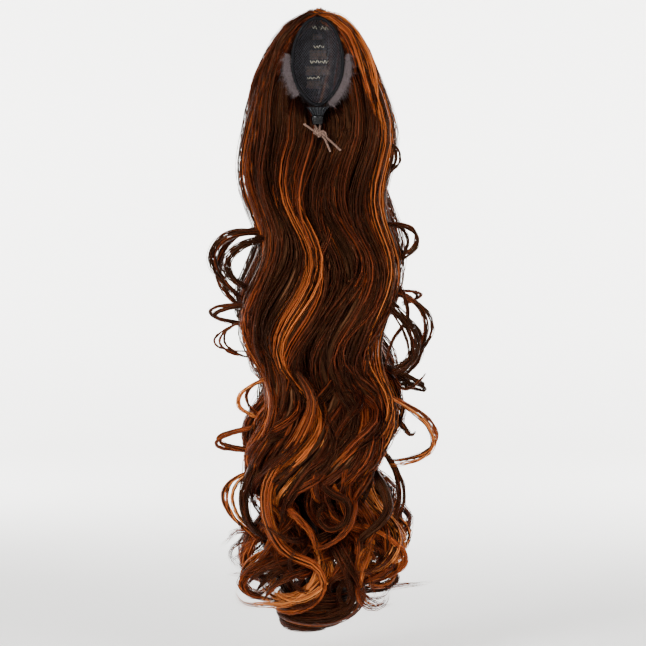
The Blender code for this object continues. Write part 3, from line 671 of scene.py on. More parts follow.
# One row for each lock, as in the solids. At the end stand how much of it is copper, from 0 to 1, how
# freely its clumps part from each other, and how many turns its tip hooks round, to the left if positive
LOCK_COLUMNS = (
    "root_turn",
    "root_depth",
    "x",
    "y",
    "drift",
    "end",
    "thick",
    "swing",
    "wave",
    "phase",
    "copper",
    "loose",
    "hook",
)
LOCK_ROWS = (
    (14, 0.00, -0.78, 0.14, 0.04, 0.91, 0.95, 0.80, 1.00, 0.19, 0.42, 0.70, -0.30),
    (-8, 0.05, 0.80, 0.14, 0.06, 0.92, 1.00, 0.75, 0.98, -0.07, 0.85, 0.35, 0.45),
    (-60, 0.05, -0.60, 0.06, 0.02, 0.88, 0.90, 0.95, 1.04, 0.20, 0.30, 0.90, 0.35),
    (62, 0.05, 0.60, 0.06, 0.12, 0.90, 0.90, 0.90, 1.02, -0.05, 0.40, 0.80, 0.50),
    (-128, 0.10, -0.27, 0.05, 0.02, 0.94, 1.00, 1.20, 1.12, 0.151, 0.92, 0.24, 0.60),
    (128, 0.10, 0.34, 0.04, 0.10, 0.89, 0.95, 1.05, 1.06, -0.01, 0.42, 0.80, -0.45),
    (-160, 0.30, -0.08, 0.07, -0.06, 0.97, 0.95, 1.00, 1.15, 0.10, 0.20, 0.70, 0.20),
    (162, 0.30, 0.12, 0.09, 0.06, 0.95, 0.90, 0.95, 1.10, 0.05, 0.22, 0.90, -0.50),
    (150, 0.60, 0.22, 0.42, 0.04, 0.975, 1.10, 0.80, 1.00, 0.55, 0.14, 0.60, 0.12),
    (4, 0.40, -0.79, 0.46, 0.01, 0.91, 1.05, 0.80, 0.96, 0.22, 0.30, 0.50, -0.35),
    (-4, 0.45, 0.86, 0.46, 0.08, 0.92, 1.05, 0.75, 0.94, -0.04, 0.55, 0.80, 0.40),
    (-20, 0.65, -0.72, 0.78, 0.06, 0.88, 1.05, 0.85, 0.98, 0.36, 0.35, 0.90, 0.35),
    (20, 0.65, 0.72, 0.78, 0.02, 0.90, 1.05, 0.85, 0.96, 0.22, 0.30, 0.90, -0.40),
    (-70, 0.80, -0.42, 0.92, 0.04, 0.92, 1.05, 0.85, 1.04, 0.46, 0.50, 0.90, -0.45),
    (70, 0.80, 0.42, 0.92, -0.02, 0.92, 1.05, 0.85, 1.06, 0.30, 0.35, 0.90, 0.35),
    (-8, 0.80, -0.04, 0.96, -0.04, 0.97, 1.05, 0.80, 1.10, 0.38, 0.55, 0.70, 0.20),
)
# The locks that lie halfway between two others, and close the gap between them
BETWEEN = (
    *((0, 2), (2, 4), (4, 6), (7, 5), (5, 3), (3, 1), (6, 8)),
    *((9, 11), (10, 12), (11, 13), (13, 15), (15, 14), (14, 12)),
)


def hang_half_width(drop):
    """How far the locks spread to each side at a drop below the origin."""
    levels, widths = np.array(TAIL_OUTLINE).T
    down = np.clip(drop / FALL, 0, 1)
    k = np.clip(np.searchsorted(levels, down, side="right") - 1, 0, len(levels) - 2)
    u = np.clip((down - levels[k]) / (levels[k + 1] - levels[k]), 0, 1)
    return TAIL_HALF_WIDTH * (widths[k] + (widths[k + 1] - widths[k]) * u * u * (3 - 2 * u))


def evenly(line, halves, points):
    """A line and its half thicknesses at points that lie closer together towards its end."""
    run = run_along(line)
    u = np.linspace(0, 1, points)
    even = run[-1] * u * (1 + CLOSER * (1 - u))
    return points_at(even, run, line), np.interp(even, run, halves)


def lock_line(lock, points):
    """The middle line of a lock, root to end, and its half thickness, at some number of points."""
    turn = math.radians(lock["root_turn"])
    root = mouth_point(
        np.array(lock["root_turn"]),
        HOOD_GAP + LOCK_THICK * 0.22,
        max(lock["root_depth"] * (CUP_DEPTH + LOCK_THICK * 0.5), LEAST_ROOT_DEPTH),
        cup_scale(lock["root_depth"] * 0.8),
    )
    way = math.copysign(1.0, lock["x"])
    aim = unit(np.array([way * (abs(math.cos(turn)) + ROOT_SWEEP), lock["root_depth"], -abs(math.sin(turn))]))

    def hang(drop):
        share = (drop - HANG_START) / (FALL - HANG_START)
        opened = np.maximum(share, 0.0)
        turns = drop / (lock["wave"] * WAVE_LENGTH) + lock["phase"] + WAVES_ADDED * opened**2
        reach = lock["swing"] * SWING * (0.55 + 0.85 * opened)
        x = (lock["x"] + lock["drift"] * share) * hang_half_width(drop) + reach * np.sin(2 * math.pi * turns)
        y = TAIL_FRONT + LOCK_THICK / 2 + lock["y"] * (TAIL_DEPTH - LOCK_THICK)
        return np.stack([x, y + reach * 0.5 * np.cos(2 * math.pi * turns), -drop], axis=-1)

    start = hang(np.array(HANG_START))
    u = np.linspace(0, 1, 40)[:-1, None]
    pull = aim * ROOT_PULL * (1 + math.cos(turn)) / 2
    crown = (
        root * (2 * u**3 - 3 * u**2 + 1)
        + pull * (u**3 - 2 * u**2 + u)
        + start * (3 * u**2 - 2 * u**3)
        + np.array([0, 0, -HANG_PULL]) * (u**3 - u**2)
    )
    share = np.linspace(0, 1, 200)
    line = np.concatenate([crown, hang(HANG_START + (lock["end"] * FALL - HANG_START) * share)])
    full = lock["thick"] * LOCK_THICK / 2
    halves = np.concatenate([full * (0.40 + 0.60 * u[:, 0] ** 0.7), full * (1.0 - 0.55 * share**2.2)])
    return evenly(line, halves, points)


# How far behind the net hair lies at least, and how far forward of the origin anywhere at most
BEHIND_NET = 0.0025
FRONT_MOST = -0.030
# Hair keeps back behind the drawstring over a width round its middle, with soft edges
STRING_MIDDLE = 0.003
STRING_HALF_WIDTH = 0.026
STRING_EDGE = 0.008
# The lock, then the knot: its top, its foot, the soft edge at its foot, and how far the hair keeps back
STRING_ROWS = ((-0.040, -0.074, 0.006, 0.0352), (-0.060, -0.112, 0.010, 0.0275))


def clear_of_cup(paths):
    """Move hair that would lie in the cup behind it, and hair in front of the drawstring behind that."""
    x, y, z = (paths[..., k] for k in range(3))
    depth, inside = cup_depth(x, z, HOOD_GAP + CASING_THICK)
    behind = np.where(inside, depth + BEHIND_NET, -1.0)
    beside = np.clip((STRING_HALF_WIDTH - np.abs(x - STRING_MIDDLE)) / STRING_EDGE, 0, 1)
    front_most = np.full(np.shape(x), FRONT_MOST)
    for top, foot, foot_edge, back in STRING_ROWS:
        kept = beside * np.clip((top - z) / STRING_EDGE, 0, 1) * np.clip((z - foot) / foot_edge, 0, 1)
        front_most = np.maximum(front_most, FRONT_MOST + kept * back)
    cleared = paths.copy()
    cleared[..., 1] = np.maximum(np.maximum(y, behind), front_most)
    return cleared


def mixed_tones(tones):
    """Linear colours for tones from 0, near black, to 1, light copper."""
    place = np.clip(tones, 0, 0.999) * (len(TONES) - 1)
    low = place.astype(int)
    return tone_colours[low] + (tone_colours[low + 1] - tone_colours[low]) * (place - low)[..., None]


# The share of a lock at its tip that hooks round
HOOK_PART = 0.22


def hooked(line, turns):
    """A line whose last part is bent round by some turns, in the plane that the front view looks on."""
    share = np.linspace(0, 1, len(line) - 1)
    bend = 2 * math.pi * turns * np.clip((share - (1 - HOOK_PART)) / HOOK_PART, 0, 1) ** 1.3
    step = np.diff(line, axis=0)
    turned = step.copy()
    turned[:, 0] = step[:, 0] * np.cos(bend) + step[:, 2] * np.sin(bend)
    turned[:, 2] = step[:, 2] * np.cos(bend) - step[:, 0] * np.sin(bend)
    return np.concatenate([line[:1], line[:1] + np.cumsum(turned, axis=0)])


# The share of wisps that are near black, and the angle from one wisp to the next round their clump
DARK_WISPS = 0.23
WISP_TURN = 2.4


def wisps_round(line, halves, count, half_width, tone, frizz, shorter=0.14):
    """count wisps round a line: their paths, wide ways, half widths and tints. halves says how far from
    the line they reach, half_width gives the range of their own, and shorter how much one may fall short."""
    points = len(line)
    share = np.linspace(0, 1, points) * rng.uniform(1 - shorter, 1, (count, 1))
    across = carried_round(line, np.array([1.0, 0.0, 0.0]))
    through = np.cross(unit(np.gradient(line, axis=0)), across)
    whole = np.linspace(0, 1, points)
    middle, first, second = (points_at(share, whole, way) for way in (line, across, through))
    angle = rng.uniform(0, 2 * math.pi) + np.arange(count) * WISP_TURN
    angle = angle[:, None] + 2 * math.pi * (rng.uniform(-0.2, 0.2) + rng.normal(0, 0.08, (count, 1))) * share
    radial = np.cos(angle)[..., None] * first + np.sin(angle)[..., None] * second
    tangential = -np.sin(angle)[..., None] * first + np.cos(angle)[..., None] * second
    # The wisps of a clump close up towards its tip
    out = np.sqrt(rng.uniform(0.05, 1.0, (count, 1))) * np.interp(share, whole, halves)
    out = out * np.sqrt(1 - 0.85 * share**4)
    paths = middle + radial * out[..., None]
    # Each wisp wanders in long waves and in short ones, more so towards its end
    for reach, waves in ((0.0012, (2, 5)), (0.0005, (6, 11))):
        phase = rng.uniform(0, 2 * math.pi, (2, count, 1))
        often = rng.uniform(*waves, (count, 1))
        grown = reach * frizz * (0.3 + 0.7 * share)
        paths = paths + tangential * (np.sin(2 * math.pi * often * share + phase[0]) * grown)[..., None]
        paths = paths + radial * (np.sin(2 * math.pi * often * share + phase[1]) * grown)[..., None]
    # It swells from its root and tapers to its tip
    size = rng.uniform(*half_width, (count, 1)) * (0.6 + 0.4 * np.minimum(whole * 8, 1))
    size = size * (np.minimum(1, (1 - whole) / 0.16) * 0.9 + 0.1)
    own = rng.normal(0, 0.09, (count, 1))
    dark = rng.uniform(0, 1, (count, 1)) < DARK_WISPS
    tones = np.where(dark, rng.uniform(0, 0.22, (count, 1)), tone + own)
    tones = tones + 0.06 * np.sin(2 * math.pi * (2.3 * share + rng.uniform(0, 1, (count, 1))))
    return paths, tangential, size, mixed_tones(tones)


# Curled synthetic fibre: smooth extruded strands, so it has warm bright gloss and fine lengthwise streaks
fibre, fibre_tree, fibre_shader = new_material(
    "curled_synthetic_fibre", 0.32, Metallic=0.04, Specular_IOR_Level=0.34
)
fibre_shader.inputs["Specular Tint"].default_value = (*linear("#e89a66"), 1)
fibre_tint = add_node(fibre_tree, "ShaderNodeAttribute", {"attribute_name": "tint"})
fibre_way = add_node(fibre_tree, "ShaderNodeUVMap", {"uv_map": "fibre"})
# A streak is about 0.5 mm wide and 50 mm long
streaked = add_node(
    fibre_tree, "ShaderNodeMapping", {"Scale": (1 / 0.0005, 1 / 0.05, 1)}, Vector=fibre_way.outputs[0]
)
streaks = add_node(
    fibre_tree, "ShaderNodeTexNoise", {"Scale": 1.0, "Detail": 3.0}, Vector=streaked.outputs[0]
)
streak_level = add_node(
    fibre_tree,
    "ShaderNodeMapRange",
    {"From Min": 0.3, "From Max": 0.7, "To Min": 0.5, "To Max": 1.45},
    Value=streaks.outputs["Fac"],
)
streaked_tint = add_node(
    fibre_tree,
    "ShaderNodeVectorMath",
    {"operation": "SCALE"},
    _0=fibre_tint.outputs["Color"],
    Scale=streak_level.outputs[0],
)
fibre_tree.links.new(streaked_tint.outputs[0], fibre_shader.inputs["Base Color"])
fibre_bump = add_node(
    fibre_tree, "ShaderNodeBump", {"Strength": 0.5, "Distance": 0.0002}, Height=streaks.outputs["Fac"]
)
fibre_tree.links.new(fibre_bump.outputs["Normal"], fibre_shader.inputs["Normal"])


def hair_piece(name, parts, flat, sides, *nodes):
    """One piece from several bundles of wisps, whose thickness is flat times their width."""
    paths, ways, sizes, tints = (np.concatenate(part) for part in zip(*parts))
    made = joined_tubes(name, clear_of_cup(paths), ways, sizes, sizes * flat, sides, tints)
    return finish_piece(made, fibre, "hair", *nodes)


WISP_POINTS = 48
CLUMPS = 4
WISPS = 27
WISP_WIDTHS = (0.00045, 0.00095)
# Over its lower two thirds each clump also winds in a curl of its own: its reach, and the length of a turn
RINGLET_REACH = (0.005, 0.016)
RINGLET_LENGTH = (0.070, 0.125)
# How far below the origin a clump may hang
LOWEST = 0.594
locks = [dict(zip(LOCK_COLUMNS, row)) for row in LOCK_ROWS]
for one, other in BETWEEN:
    mixed = {column: (locks[one][column] + locks[other][column]) / 2 for column in LOCK_COLUMNS}
    # It lies in the shade of the two, so it is darker
    mixed["copper"] = 0.7 * min(locks[one]["copper"], locks[other]["copper"])
    locks.append(mixed)
# Which locks share a piece, so that no piece is too large
GROUPS = {
    "front_locks_left": (0, 2, 4, 16, 17, 18),
    "front_locks_right": (1, 3, 5, 19, 20, 21),
    "middle_locks": (6, 7, 8, 22),
    "side_locks": (9, 10, 23, 24),
    "back_locks_left": (11, 13, 15, 25, 26),
    "back_locks_right": (12, 14, 27, 28),
}


def clump_line(lock, clump, points):
    """The middle line of one clump of a lock, and its half thickness."""
    loose = lock["loose"]
    own = dict(lock)
    own["swing"] *= 1 + loose * rng.uniform(-0.15, 0.18)
    own["wave"] *= 1 + loose * rng.uniform(-0.03, 0.03)
    own["phase"] += loose * rng.uniform(-0.06, 0.06)
    own["root_turn"] += rng.uniform(-5, 5)
    hook = lock["hook"] + loose * rng.uniform(-0.35, 0.35)
    own["end"] = min(own["end"] + loose * rng.uniform(-0.11, 0.02), 0.975) + 0.15 * min(abs(hook), 0.6)
    line, halves = lock_line(own, points)
    run = run_along(line)
    share = run / run[-1]
    across = carried_round(line, np.array([1.0, 0.0, 0.0]))
    through = np.cross(unit(np.gradient(line, axis=0)), across)
    turning = 2 * math.pi * (clump / CLUMPS + rng.uniform(-0.08, 0.08) + rng.uniform(-0.25, 0.25) * share)
    outward = np.cos(turning)[:, None] * across + np.sin(turning)[:, None] * through
    line = line + outward * (halves * 0.55)[:, None]
    # It also wanders a little, over two to four waves of its own
    for way, reach in ((across, 0.0045), (through, 0.0030)):
        wander = np.sin(2 * math.pi * (share * rng.uniform(1.6, 3.6) + rng.uniform(0, 1)))
        line = line + way * (wander * loose * reach * np.minimum(share * 2, 1))[:, None]
    winding = 2 * math.pi * (run / rng.uniform(*RINGLET_LENGTH) * rng.choice((-1, 1)) + rng.uniform(0, 1))
    reach = loose * rng.uniform(*RINGLET_REACH) * np.clip((share - 0.34) / 0.40, 0, 1) ** 1.2
    line = line + across * (np.cos(winding) * reach)[:, None]
    line = line + through * (np.sin(winding) * reach * 0.7)[:, None]
    line = hooked(line, hook)
    line[:, 2] *= min(1.0, LOWEST / -line[:, 2].min())
    return line, halves


inner = []
for name, numbers in GROUPS.items():
    bundles = []
    for number in numbers:
        lock = locks[number]
        line, halves = lock_line(lock, WISP_POINTS)
        # One dark core runs down the middle of each lock, so that no light shows between its clumps; it takes
        # the hair's near-black tone throughout, as painted shade deep in the lock
        fullness = halves * 0.60 * np.clip((0.80 - np.linspace(0, 1, WISP_POINTS)) / 0.25, 0.03, 1)
        core_paths, core_ways, _, core_tints = wisps_round(line, halves * 0, 1, (1, 1), 0.04, 0, 0)
        inner.append((core_paths, core_ways, fullness[None], core_tints * 0 + tone_colours[0]))
        for clump in range(CLUMPS):
            line, halves = clump_line(lock, clump, WISP_POINTS)
            tone = np.clip(rng.normal(lock["copper"] * 0.70 + 0.11, 0.12 * lock["loose"] + 0.03), 0.05, 0.80)
            # Towards its end each clump turns more copper, partly its own colour and partly a painted
            # highlight for the gloss of the curls
            lower = 0.17 * np.clip((np.linspace(0, 1, WISP_POINTS) - 0.45) / 0.3, 0, 1)
            # Hair that is sewn on beside the drawstring is painted darker at its roots, as shade
            rooted = np.linspace(0, 1, WISP_POINTS) / 0.16 + 0.25
            shade = np.clip(rooted, 0, 1) if abs(lock["root_turn"]) > 100 else np.ones(WISP_POINTS)
            tones = np.minimum(tone * shade + lower, 0.88)
            bundles.append(wisps_round(line, halves * 0.58, WISPS, WISP_WIDTHS, tones, 1.0))
    hair_piece(name, bundles, 0.45, 3, "crown_hair", "tail_hair")
hair_piece("inner_hair", inner, 0.9, 8)


# The curls: thin bundles of the same hair that have come loose from the mass, loop out to the side and
# come back in
CURL_SWEEP = 0.009
CURL_STRANDS = 3
CURL_WISPS = 13
CURL_POINTS = 30
CURL_WISP_WIDTHS = (0.0005, 0.0009)
# Where a curl leaves the tail, lies furthest out and comes back: to the right as shares of the tail's half
# width, and down as shares of its fall. Then its depth in the tail, its thickness and how much is copper
CURL_COLUMNS = ("out_x", "out_z", "far_x", "far_z", "back_x", "back_z", "y", "thick", "copper")
CURL_ROWS = (
    (-0.72, 0.290, -1.42, 0.325, -0.86, 0.420, 0.30, 1.45, 0.10),
    (-0.70, 0.300, -1.24, 0.345, -0.80, 0.395, 0.24, 1.90, 0.08),
    (-0.66, 0.280, -1.34, 0.338, -0.90, 0.432, 0.38, 0.90, 0.35),
    (-0.84, 0.440, -1.36, 0.476, -0.88, 0.505, 0.30, 0.35, 0.30),
    (-0.80, 0.415, -1.42, 0.432, -0.84, 0.452, 0.34, 0.75, 0.30),
    (-0.66, 0.545, -1.05, 0.585, -0.60, 0.612, 0.26, 0.80, 0.75),
    (-0.60, 0.625, -1.34, 0.655, -0.52, 0.672, 0.32, 0.70, 0.45),
    (-0.78, 0.705, -1.24, 0.760, -0.62, 0.832, 0.24, 0.85, 0.70),
    (-0.44, 0.850, -1.02, 0.900, -0.52, 0.925, 0.20, 1.30, 0.30),
    (0.86, 0.130, 1.08, 0.160, 0.78, 0.200, 0.24, 0.45, 0.10),
    (0.92, 0.275, 1.32, 0.300, 0.94, 0.345, 0.30, 0.85, 0.15),
    (1.00, 0.392, 1.36, 0.402, 1.08, 0.418, 0.30, 0.55, 0.25),
    (0.66, 0.385, 1.30, 0.478, 0.90, 0.530, 0.20, 1.80, 0.08),
    (0.92, 0.395, 1.50, 0.455, 0.92, 0.530, 0.26, 1.10, 0.35),
    (0.88, 0.425, 1.40, 0.490, 0.84, 0.560, 0.42, 0.90, 0.20),
    (0.86, 0.520, 1.42, 0.560, 0.90, 0.545, 0.40, 0.80, 0.20),
    (0.90, 0.575, 1.56, 0.650, 0.86, 0.690, 0.24, 1.20, 0.65),
    (0.74, 0.655, 1.14, 0.760, 0.62, 0.818, 0.34, 0.80, 0.30),
    (0.60, 0.800, 1.16, 0.860, 0.48, 0.900, 0.22, 1.00, 0.60),
    (0.44, 0.862, 1.06, 0.900, 0.40, 0.915, 0.42, 1.10, 0.25),
)


def curl_line(curl, points):
    """The middle line of a curl that leaves the tail and comes back, and its half thickness."""
    front = TAIL_FRONT + curl["y"] * TAIL_DEPTH
    # The curls in front swing forward and the ones behind swing back
    swung = CURL_SWEEP * (curl["y"] - 0.30) / 0.10
    leave, far, back = (
        np.array([curl[x] * TAIL_HALF_WIDTH, front + deeper, -curl[z] * FALL])
        for x, z, deeper in (
            ("out_x", "out_z", -0.6 * CURL_THICK),
            ("far_x", "far_z", swung),
            ("back_x", "back_z", 0.6 * CURL_THICK),
        )
    )
    bulge = far + (far - (leave + back) / 2) * 0.33
    spread = (leave - back) * 0.30
    u = np.linspace(0, 1, 60)[:, None]
    line = (
        leave * (1 - u) ** 3
        + (bulge + spread) * 3 * u * (1 - u) ** 2
        + (bulge - spread) * 3 * u**2 * (1 - u)
        + back * u**3
    )
    return line[:: 60 // points], np.full(points, curl["thick"] * CURL_THICK / 2)


bundles = []
for row in CURL_ROWS:
    curl = dict(zip(CURL_COLUMNS, row))
    for strand in range(CURL_STRANDS):
        own = dict(curl)
        own["far_x"] *= 1 - 0.035 * strand * rng.uniform(0.4, 1.6)
        own["far_z"] += rng.uniform(-0.005, 0.005)
        own["back_z"] += rng.uniform(-0.008, 0.008)
        line, halves = curl_line(own, CURL_POINTS)
        tone = np.clip(curl["copper"] + rng.normal(0, 0.12), 0, 0.9)
        bundles.append(wisps_round(line, halves * 0.62, CURL_WISPS, CURL_WISP_WIDTHS, tone, 0.6, 0.02))
hair_piece("side_curls", bundles, 0.5, 3)


# The loose locks: bundles that lie free on the front of the mass, or whose tips spring back in a hook.
# Their routes run to the right and down from the origin, in shares of the tail's half width and fall
HOOD_END = 0.12
# Below the hood a thin one starts less deep in the mass than a thick one, in shares of the tail's depth.
# From THICK on, in the thickness of a curl, it counts as thick
THIN_START = 0.16
THICK_START = 0.30
THICK = 2.1
LOOSE_COLUMNS = ("y", "thick", "copper", "route")
LOOSE_ROWS = (
    # Over the top of the hood: three to the left, three to the right, and the dark roll along its hem
    (
        *(0.10, 1.40, 0.28),
        (
            *((0.20, -0.084), (-0.06, -0.087), (-0.27, -0.072), (-0.49, -0.046)),
            *((-0.67, -0.010), (-0.83, 0.031), (-0.92, 0.085)),
        ),
    ),
    (0.05, 1.30, 0.20, ((0.12, -0.083), (-0.12, -0.083), (-0.32, -0.061), (-0.50, -0.030), (-0.70, 0.054))),
    (0.08, 1.30, 0.42, ((0.06, -0.081), (-0.17, -0.075), (-0.35, -0.047), (-0.47, -0.012), (-0.52, 0.023))),
    (
        *(0.08, 1.40, 0.80),
        (
            *((-0.15, -0.084), (0.07, -0.087), (0.30, -0.079), (0.50, -0.052)),
            *((0.64, -0.022), (0.72, 0.012), (0.80, 0.078), (0.90, 0.124)),
        ),
    ),
    (0.04, 1.30, 0.64, ((-0.12, -0.083), (0.12, -0.084), (0.30, -0.069), (0.47, -0.038), (0.76, 0.093))),
    (0.06, 1.20, 0.46, ((0.00, -0.081), (0.17, -0.077), (0.34, -0.050), (0.45, -0.016), (0.50, 0.020))),
    (
        *(0.07, 0.90, 0.08),
        (
            *((-0.42, -0.008), (-0.40, -0.035), (-0.28, -0.067), (0.00, -0.083)),
            *((0.28, -0.067), (0.40, -0.035), (0.42, -0.004)),
        ),
    ),
    # On the lower front, at the sides and round the tip
    (
        *(0.02, 2.00, 0.66),
        (
            *((-0.34, 0.520), (-0.06, 0.583), (-0.24, 0.649), (-0.63, 0.722)),
            *((-0.64, 0.791), (-0.41, 0.845), (-0.03, 0.867), (0.09, 0.904)),
            *((-0.10, 0.939), (-0.41, 0.950), (-0.64, 0.936)),
        ),
    ),
    (0.16, 2.40, 0.20, ((-0.58, 0.620), (-0.84, 0.700), (-0.97, 0.753), (-0.88, 0.800), (-0.60, 0.830))),
    (0.00, 1.10, 0.55, ((-0.50, 0.763), (-0.29, 0.782), (-0.10, 0.810), (-0.02, 0.845))),
    (
        *(0.06, 1.50, 0.24),
        (
            *((-0.20, 0.680), (0.13, 0.737), (0.38, 0.759), (0.37, 0.794)),
            *((0.14, 0.806), (0.00, 0.780), (0.13, 0.757)),
        ),
    ),
    (0.04, 1.10, 0.52, ((0.50, 0.740), (0.46, 0.785), (0.32, 0.816), (0.04, 0.838), (-0.14, 0.832))),
    (0.10, 1.60, 0.12, ((0.70, 0.690), (0.92, 0.759), (0.84, 0.792), (0.54, 0.832), (0.90, 0.856))),
    (0.40, 3.00, 0.12, ((-0.10, 0.790), (-0.38, 0.855), (-0.44, 0.895), (-0.28, 0.930), (0.02, 0.945))),
    (0.45, 3.20, 0.10, ((0.22, 0.800), (0.34, 0.850), (0.36, 0.895), (0.28, 0.930), (0.10, 0.950))),
    (
        *(0.10, 3.20, 0.22),
        (
            *((0.10, 0.800), (0.34, 0.860), (0.50, 0.905), (0.47, 0.938)),
            *((0.20, 0.958), (-0.20, 0.962), (-0.56, 0.950)),
        ),
    ),
    (0.24, 2.20, 0.34, ((-0.30, 0.700), (-0.62, 0.780), (-0.48, 0.850), (-0.20, 0.890), (-0.38, 0.925))),
    (0.28, 2.00, 0.30, ((0.52, 0.700), (0.26, 0.770), (0.52, 0.850), (0.62, 0.890), (0.36, 0.918))),
    (0.20, 0.80, 0.34, ((0.90, 0.345), (1.12, 0.399), (1.17, 0.440), (0.98, 0.478), (0.88, 0.530))),
    (0.25, 0.55, 0.40, ((0.97, 0.537), (1.11, 0.562), (1.28, 0.556), (1.43, 0.534))),
    (0.30, 1.05, 0.20, ((0.99, 0.598), (1.09, 0.621), (1.22, 0.643), (1.30, 0.636))),
    (0.02, 1.50, 0.25, ((-0.08, 0.850), (-0.45, 0.862), (-0.76, 0.880), (-0.93, 0.903))),
    (0.05, 1.40, 0.18, ((-0.05, 0.862), (-0.42, 0.872), (-0.68, 0.893), (-0.80, 0.914))),
    (0.00, 1.30, 0.36, ((-0.02, 0.874), (-0.34, 0.884), (-0.58, 0.905), (-0.71, 0.929))),
    (0.20, 0.80, 0.35, ((0.54, 0.867), (0.75, 0.870), (0.86, 0.866), (0.94, 0.861))),
    (0.14, 0.90, 0.20, ((0.54, 0.876), (0.70, 0.881), (0.80, 0.884), (0.87, 0.885))),
    (0.22, 0.80, 0.35, ((0.52, 0.894), (0.73, 0.900), (0.86, 0.905), (0.97, 0.911))),
    (0.30, 0.70, 0.30, ((0.28, 0.974), (0.37, 0.956), (0.43, 0.949), (0.50, 0.948))),
    (0.24, 0.60, 0.50, ((0.49, 0.804), (0.70, 0.822), (0.90, 0.829), (1.12, 0.825))),
    (0.28, 0.45, 0.20, ((-0.62, 0.616), (-0.82, 0.626), (-0.88, 0.650), (-0.82, 0.706))),
    (0.16, 0.60, 0.15, ((0.45, 0.810), (0.62, 0.752), (0.71, 0.722), (0.64, 0.700))),
)
bundles = []
for row in LOOSE_ROWS:
    loose = dict(zip(LOOSE_COLUMNS, row))
    front = TAIL_FRONT + loose["y"] * TAIL_DEPTH
    stops = [(right * TAIL_HALF_WIDTH, front, -down * FALL) for right, down in loose["route"]]
    # Below the hood each one leaves from within the mass, and the thick ones from deeper in it
    if loose["route"][0][1] > HOOD_END:
        deeper = (THICK_START if loose["thick"] > THICK else THIN_START) * TAIL_DEPTH
        stops[0] = (stops[0][0], front + deeper, stops[0][2])
        root_shade = 0.25
    else:
        root_shade = 0.9
    route, _ = smooth_route(stops, CURL_POINTS)
    share = np.linspace(0, 1, CURL_POINTS)
    halves = loose["thick"] * CURL_THICK / 2 * (1 - 0.7 * share**3) * np.minimum(1, 0.2 + share * 4)
    count = int(CURL_WISPS * max(1.0, loose["thick"] * 1.8))
    # Each one is darker where it comes out of the shade of the mass
    tones = loose["copper"] * np.clip(root_shade + share * 3.5, 0, 1)
    bundles.append(wisps_round(route, halves, count, CURL_WISP_WIDTHS, tones, 0.5, 0.06))
hair_piece("loose_locks", bundles, 0.5, 3)


# The end roll: the longest hair, wound round into one barrel curl that closes the tail, almost level and
# leaning a little
ROLL_SHIFT = -0.08
ROLL_HALF_WIDTH = 0.035
ROLL_HEIGHT = 0.062
ROLL_THICK = 0.021
ROLL_TURNS = 3.2
ROLL_TILT = 0.006
ROLL_WISP_WIDTHS = (0.0007, 0.0012)
share = np.linspace(0, 1, 110)
angle = math.pi * (0.35 + 2 * ROLL_TURNS * share)
wide = ROLL_HALF_WIDTH * (1.0 - 0.25 * share)
roll_top = FALL - ROLL_HEIGHT + ROLL_THICK / 2
roll_line = np.stack(
    [
        ROLL_SHIFT * TAIL_HALF_WIDTH * (0.3 + 1.1 * share) - np.cos(angle) * wide,
        TAIL_FRONT + 0.42 * TAIL_DEPTH - np.sin(angle) * wide * 0.85,
        -(roll_top + (ROLL_HEIGHT - ROLL_THICK - ROLL_TILT) * share + ROLL_TILT * np.sin(angle)),
    ],
    axis=-1,
)
roll_halves = ROLL_THICK / 2 * np.interp(share, (0, 0.9, 1), (1.1, 1.0, 0.35))
bundles = []
for tone in (0.16, 0.36, 0.12, 0.48, 0.20, 0.30):
    bundles.append(wisps_round(roll_line, roll_halves, 24, ROLL_WISP_WIDTHS, tone, 0.35, 0.03))
hair_piece("end_roll", bundles, 0.42, 3)
# A dark core fills the roll, painted shade deep inside it, so that no light shows between its turns
core_paths, core_ways, _, core_tints = wisps_round(roll_line, roll_halves * 0, 1, (1, 1), 0.04, 0, 0)
fullness = roll_halves * 0.72 * np.clip(np.minimum(share, 1 - share) / 0.12, 0.05, 1)
hair_piece("end_roll_inside", [(core_paths, core_ways, fullness[None], core_tints)], 0.9, 10)


# The crown behind the cup, and the dense middle of the tail: hair packed so closely that it reads as
# one dark body, which the locks lie on
CORE_BACK = 0.004
# For each level its drop as a share of the fall, its half width as a share of the tail's, and its half
# depth and the depth of its middle as shares of the tail's depth
CORE_ROWS = (
    (-0.078, 0.24, 0.14, 0.36),
    (-0.040, 0.50, 0.34, 0.44),
    (0.060, 0.70, 0.38, 0.53),
    (0.140, 0.78, 0.36, 0.54),
    (0.360, 0.70, 0.34, 0.54),
    (0.580, 0.46, 0.26, 0.52),
    (0.780, 0.26, 0.16, 0.50),
    (0.940, 0.12, 0.08, 0.47),
)
core_down, core_wide, core_deep, core_middle = np.array(CORE_ROWS).T


def core_place(turn, level):
    """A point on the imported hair, which is oval at every level and keeps clear of the cup."""
    down = core_down[0] + (core_down[-1] - core_down[0]) * level
    x = math.cos(turn) * np.interp(down, core_down, core_wide) * TAIL_HALF_WIDTH
    y = TAIL_FRONT + TAIL_DEPTH * (
        np.interp(down, core_down, core_middle) + math.sin(turn) * np.interp(down, core_down, core_deep)
    )
    z = -down * FALL
    return clear_of_cup(np.array([x, y + CORE_BACK, z]))


core = skin("packed_hair", 72, 90, core_place)
packed, packed_tree, packed_shader = new_material("packed_synthetic_fibre", 0.6, Specular_IOR_Level=0.2)
packed_place = add_node(packed_tree, "ShaderNodeTexCoord").outputs["Object"]
# Hair in shade: streaks about 1 mm wide and 70 mm long
packed_lay = add_node(packed_tree, "ShaderNodeMapping", {"Scale": (1.0, 1.0, 0.015)}, Vector=packed_place)
mottled(packed_tree, packed_shader, "#060201", "#1c0a05", 0.001, packed_lay.outputs[0], relief=0.0005)
finish_piece(core, packed, "hair")


# The crown: hair from the upper wefts, laid back over the top of the cup and down behind it
CROWN_BUNDLES = 38
CROWN_POINTS = 34
CROWN_HALF_THICK = 0.0075
CROWN_OFF = 0.0045
CROWN_WISP_WIDTHS = (0.0005, 0.0010)
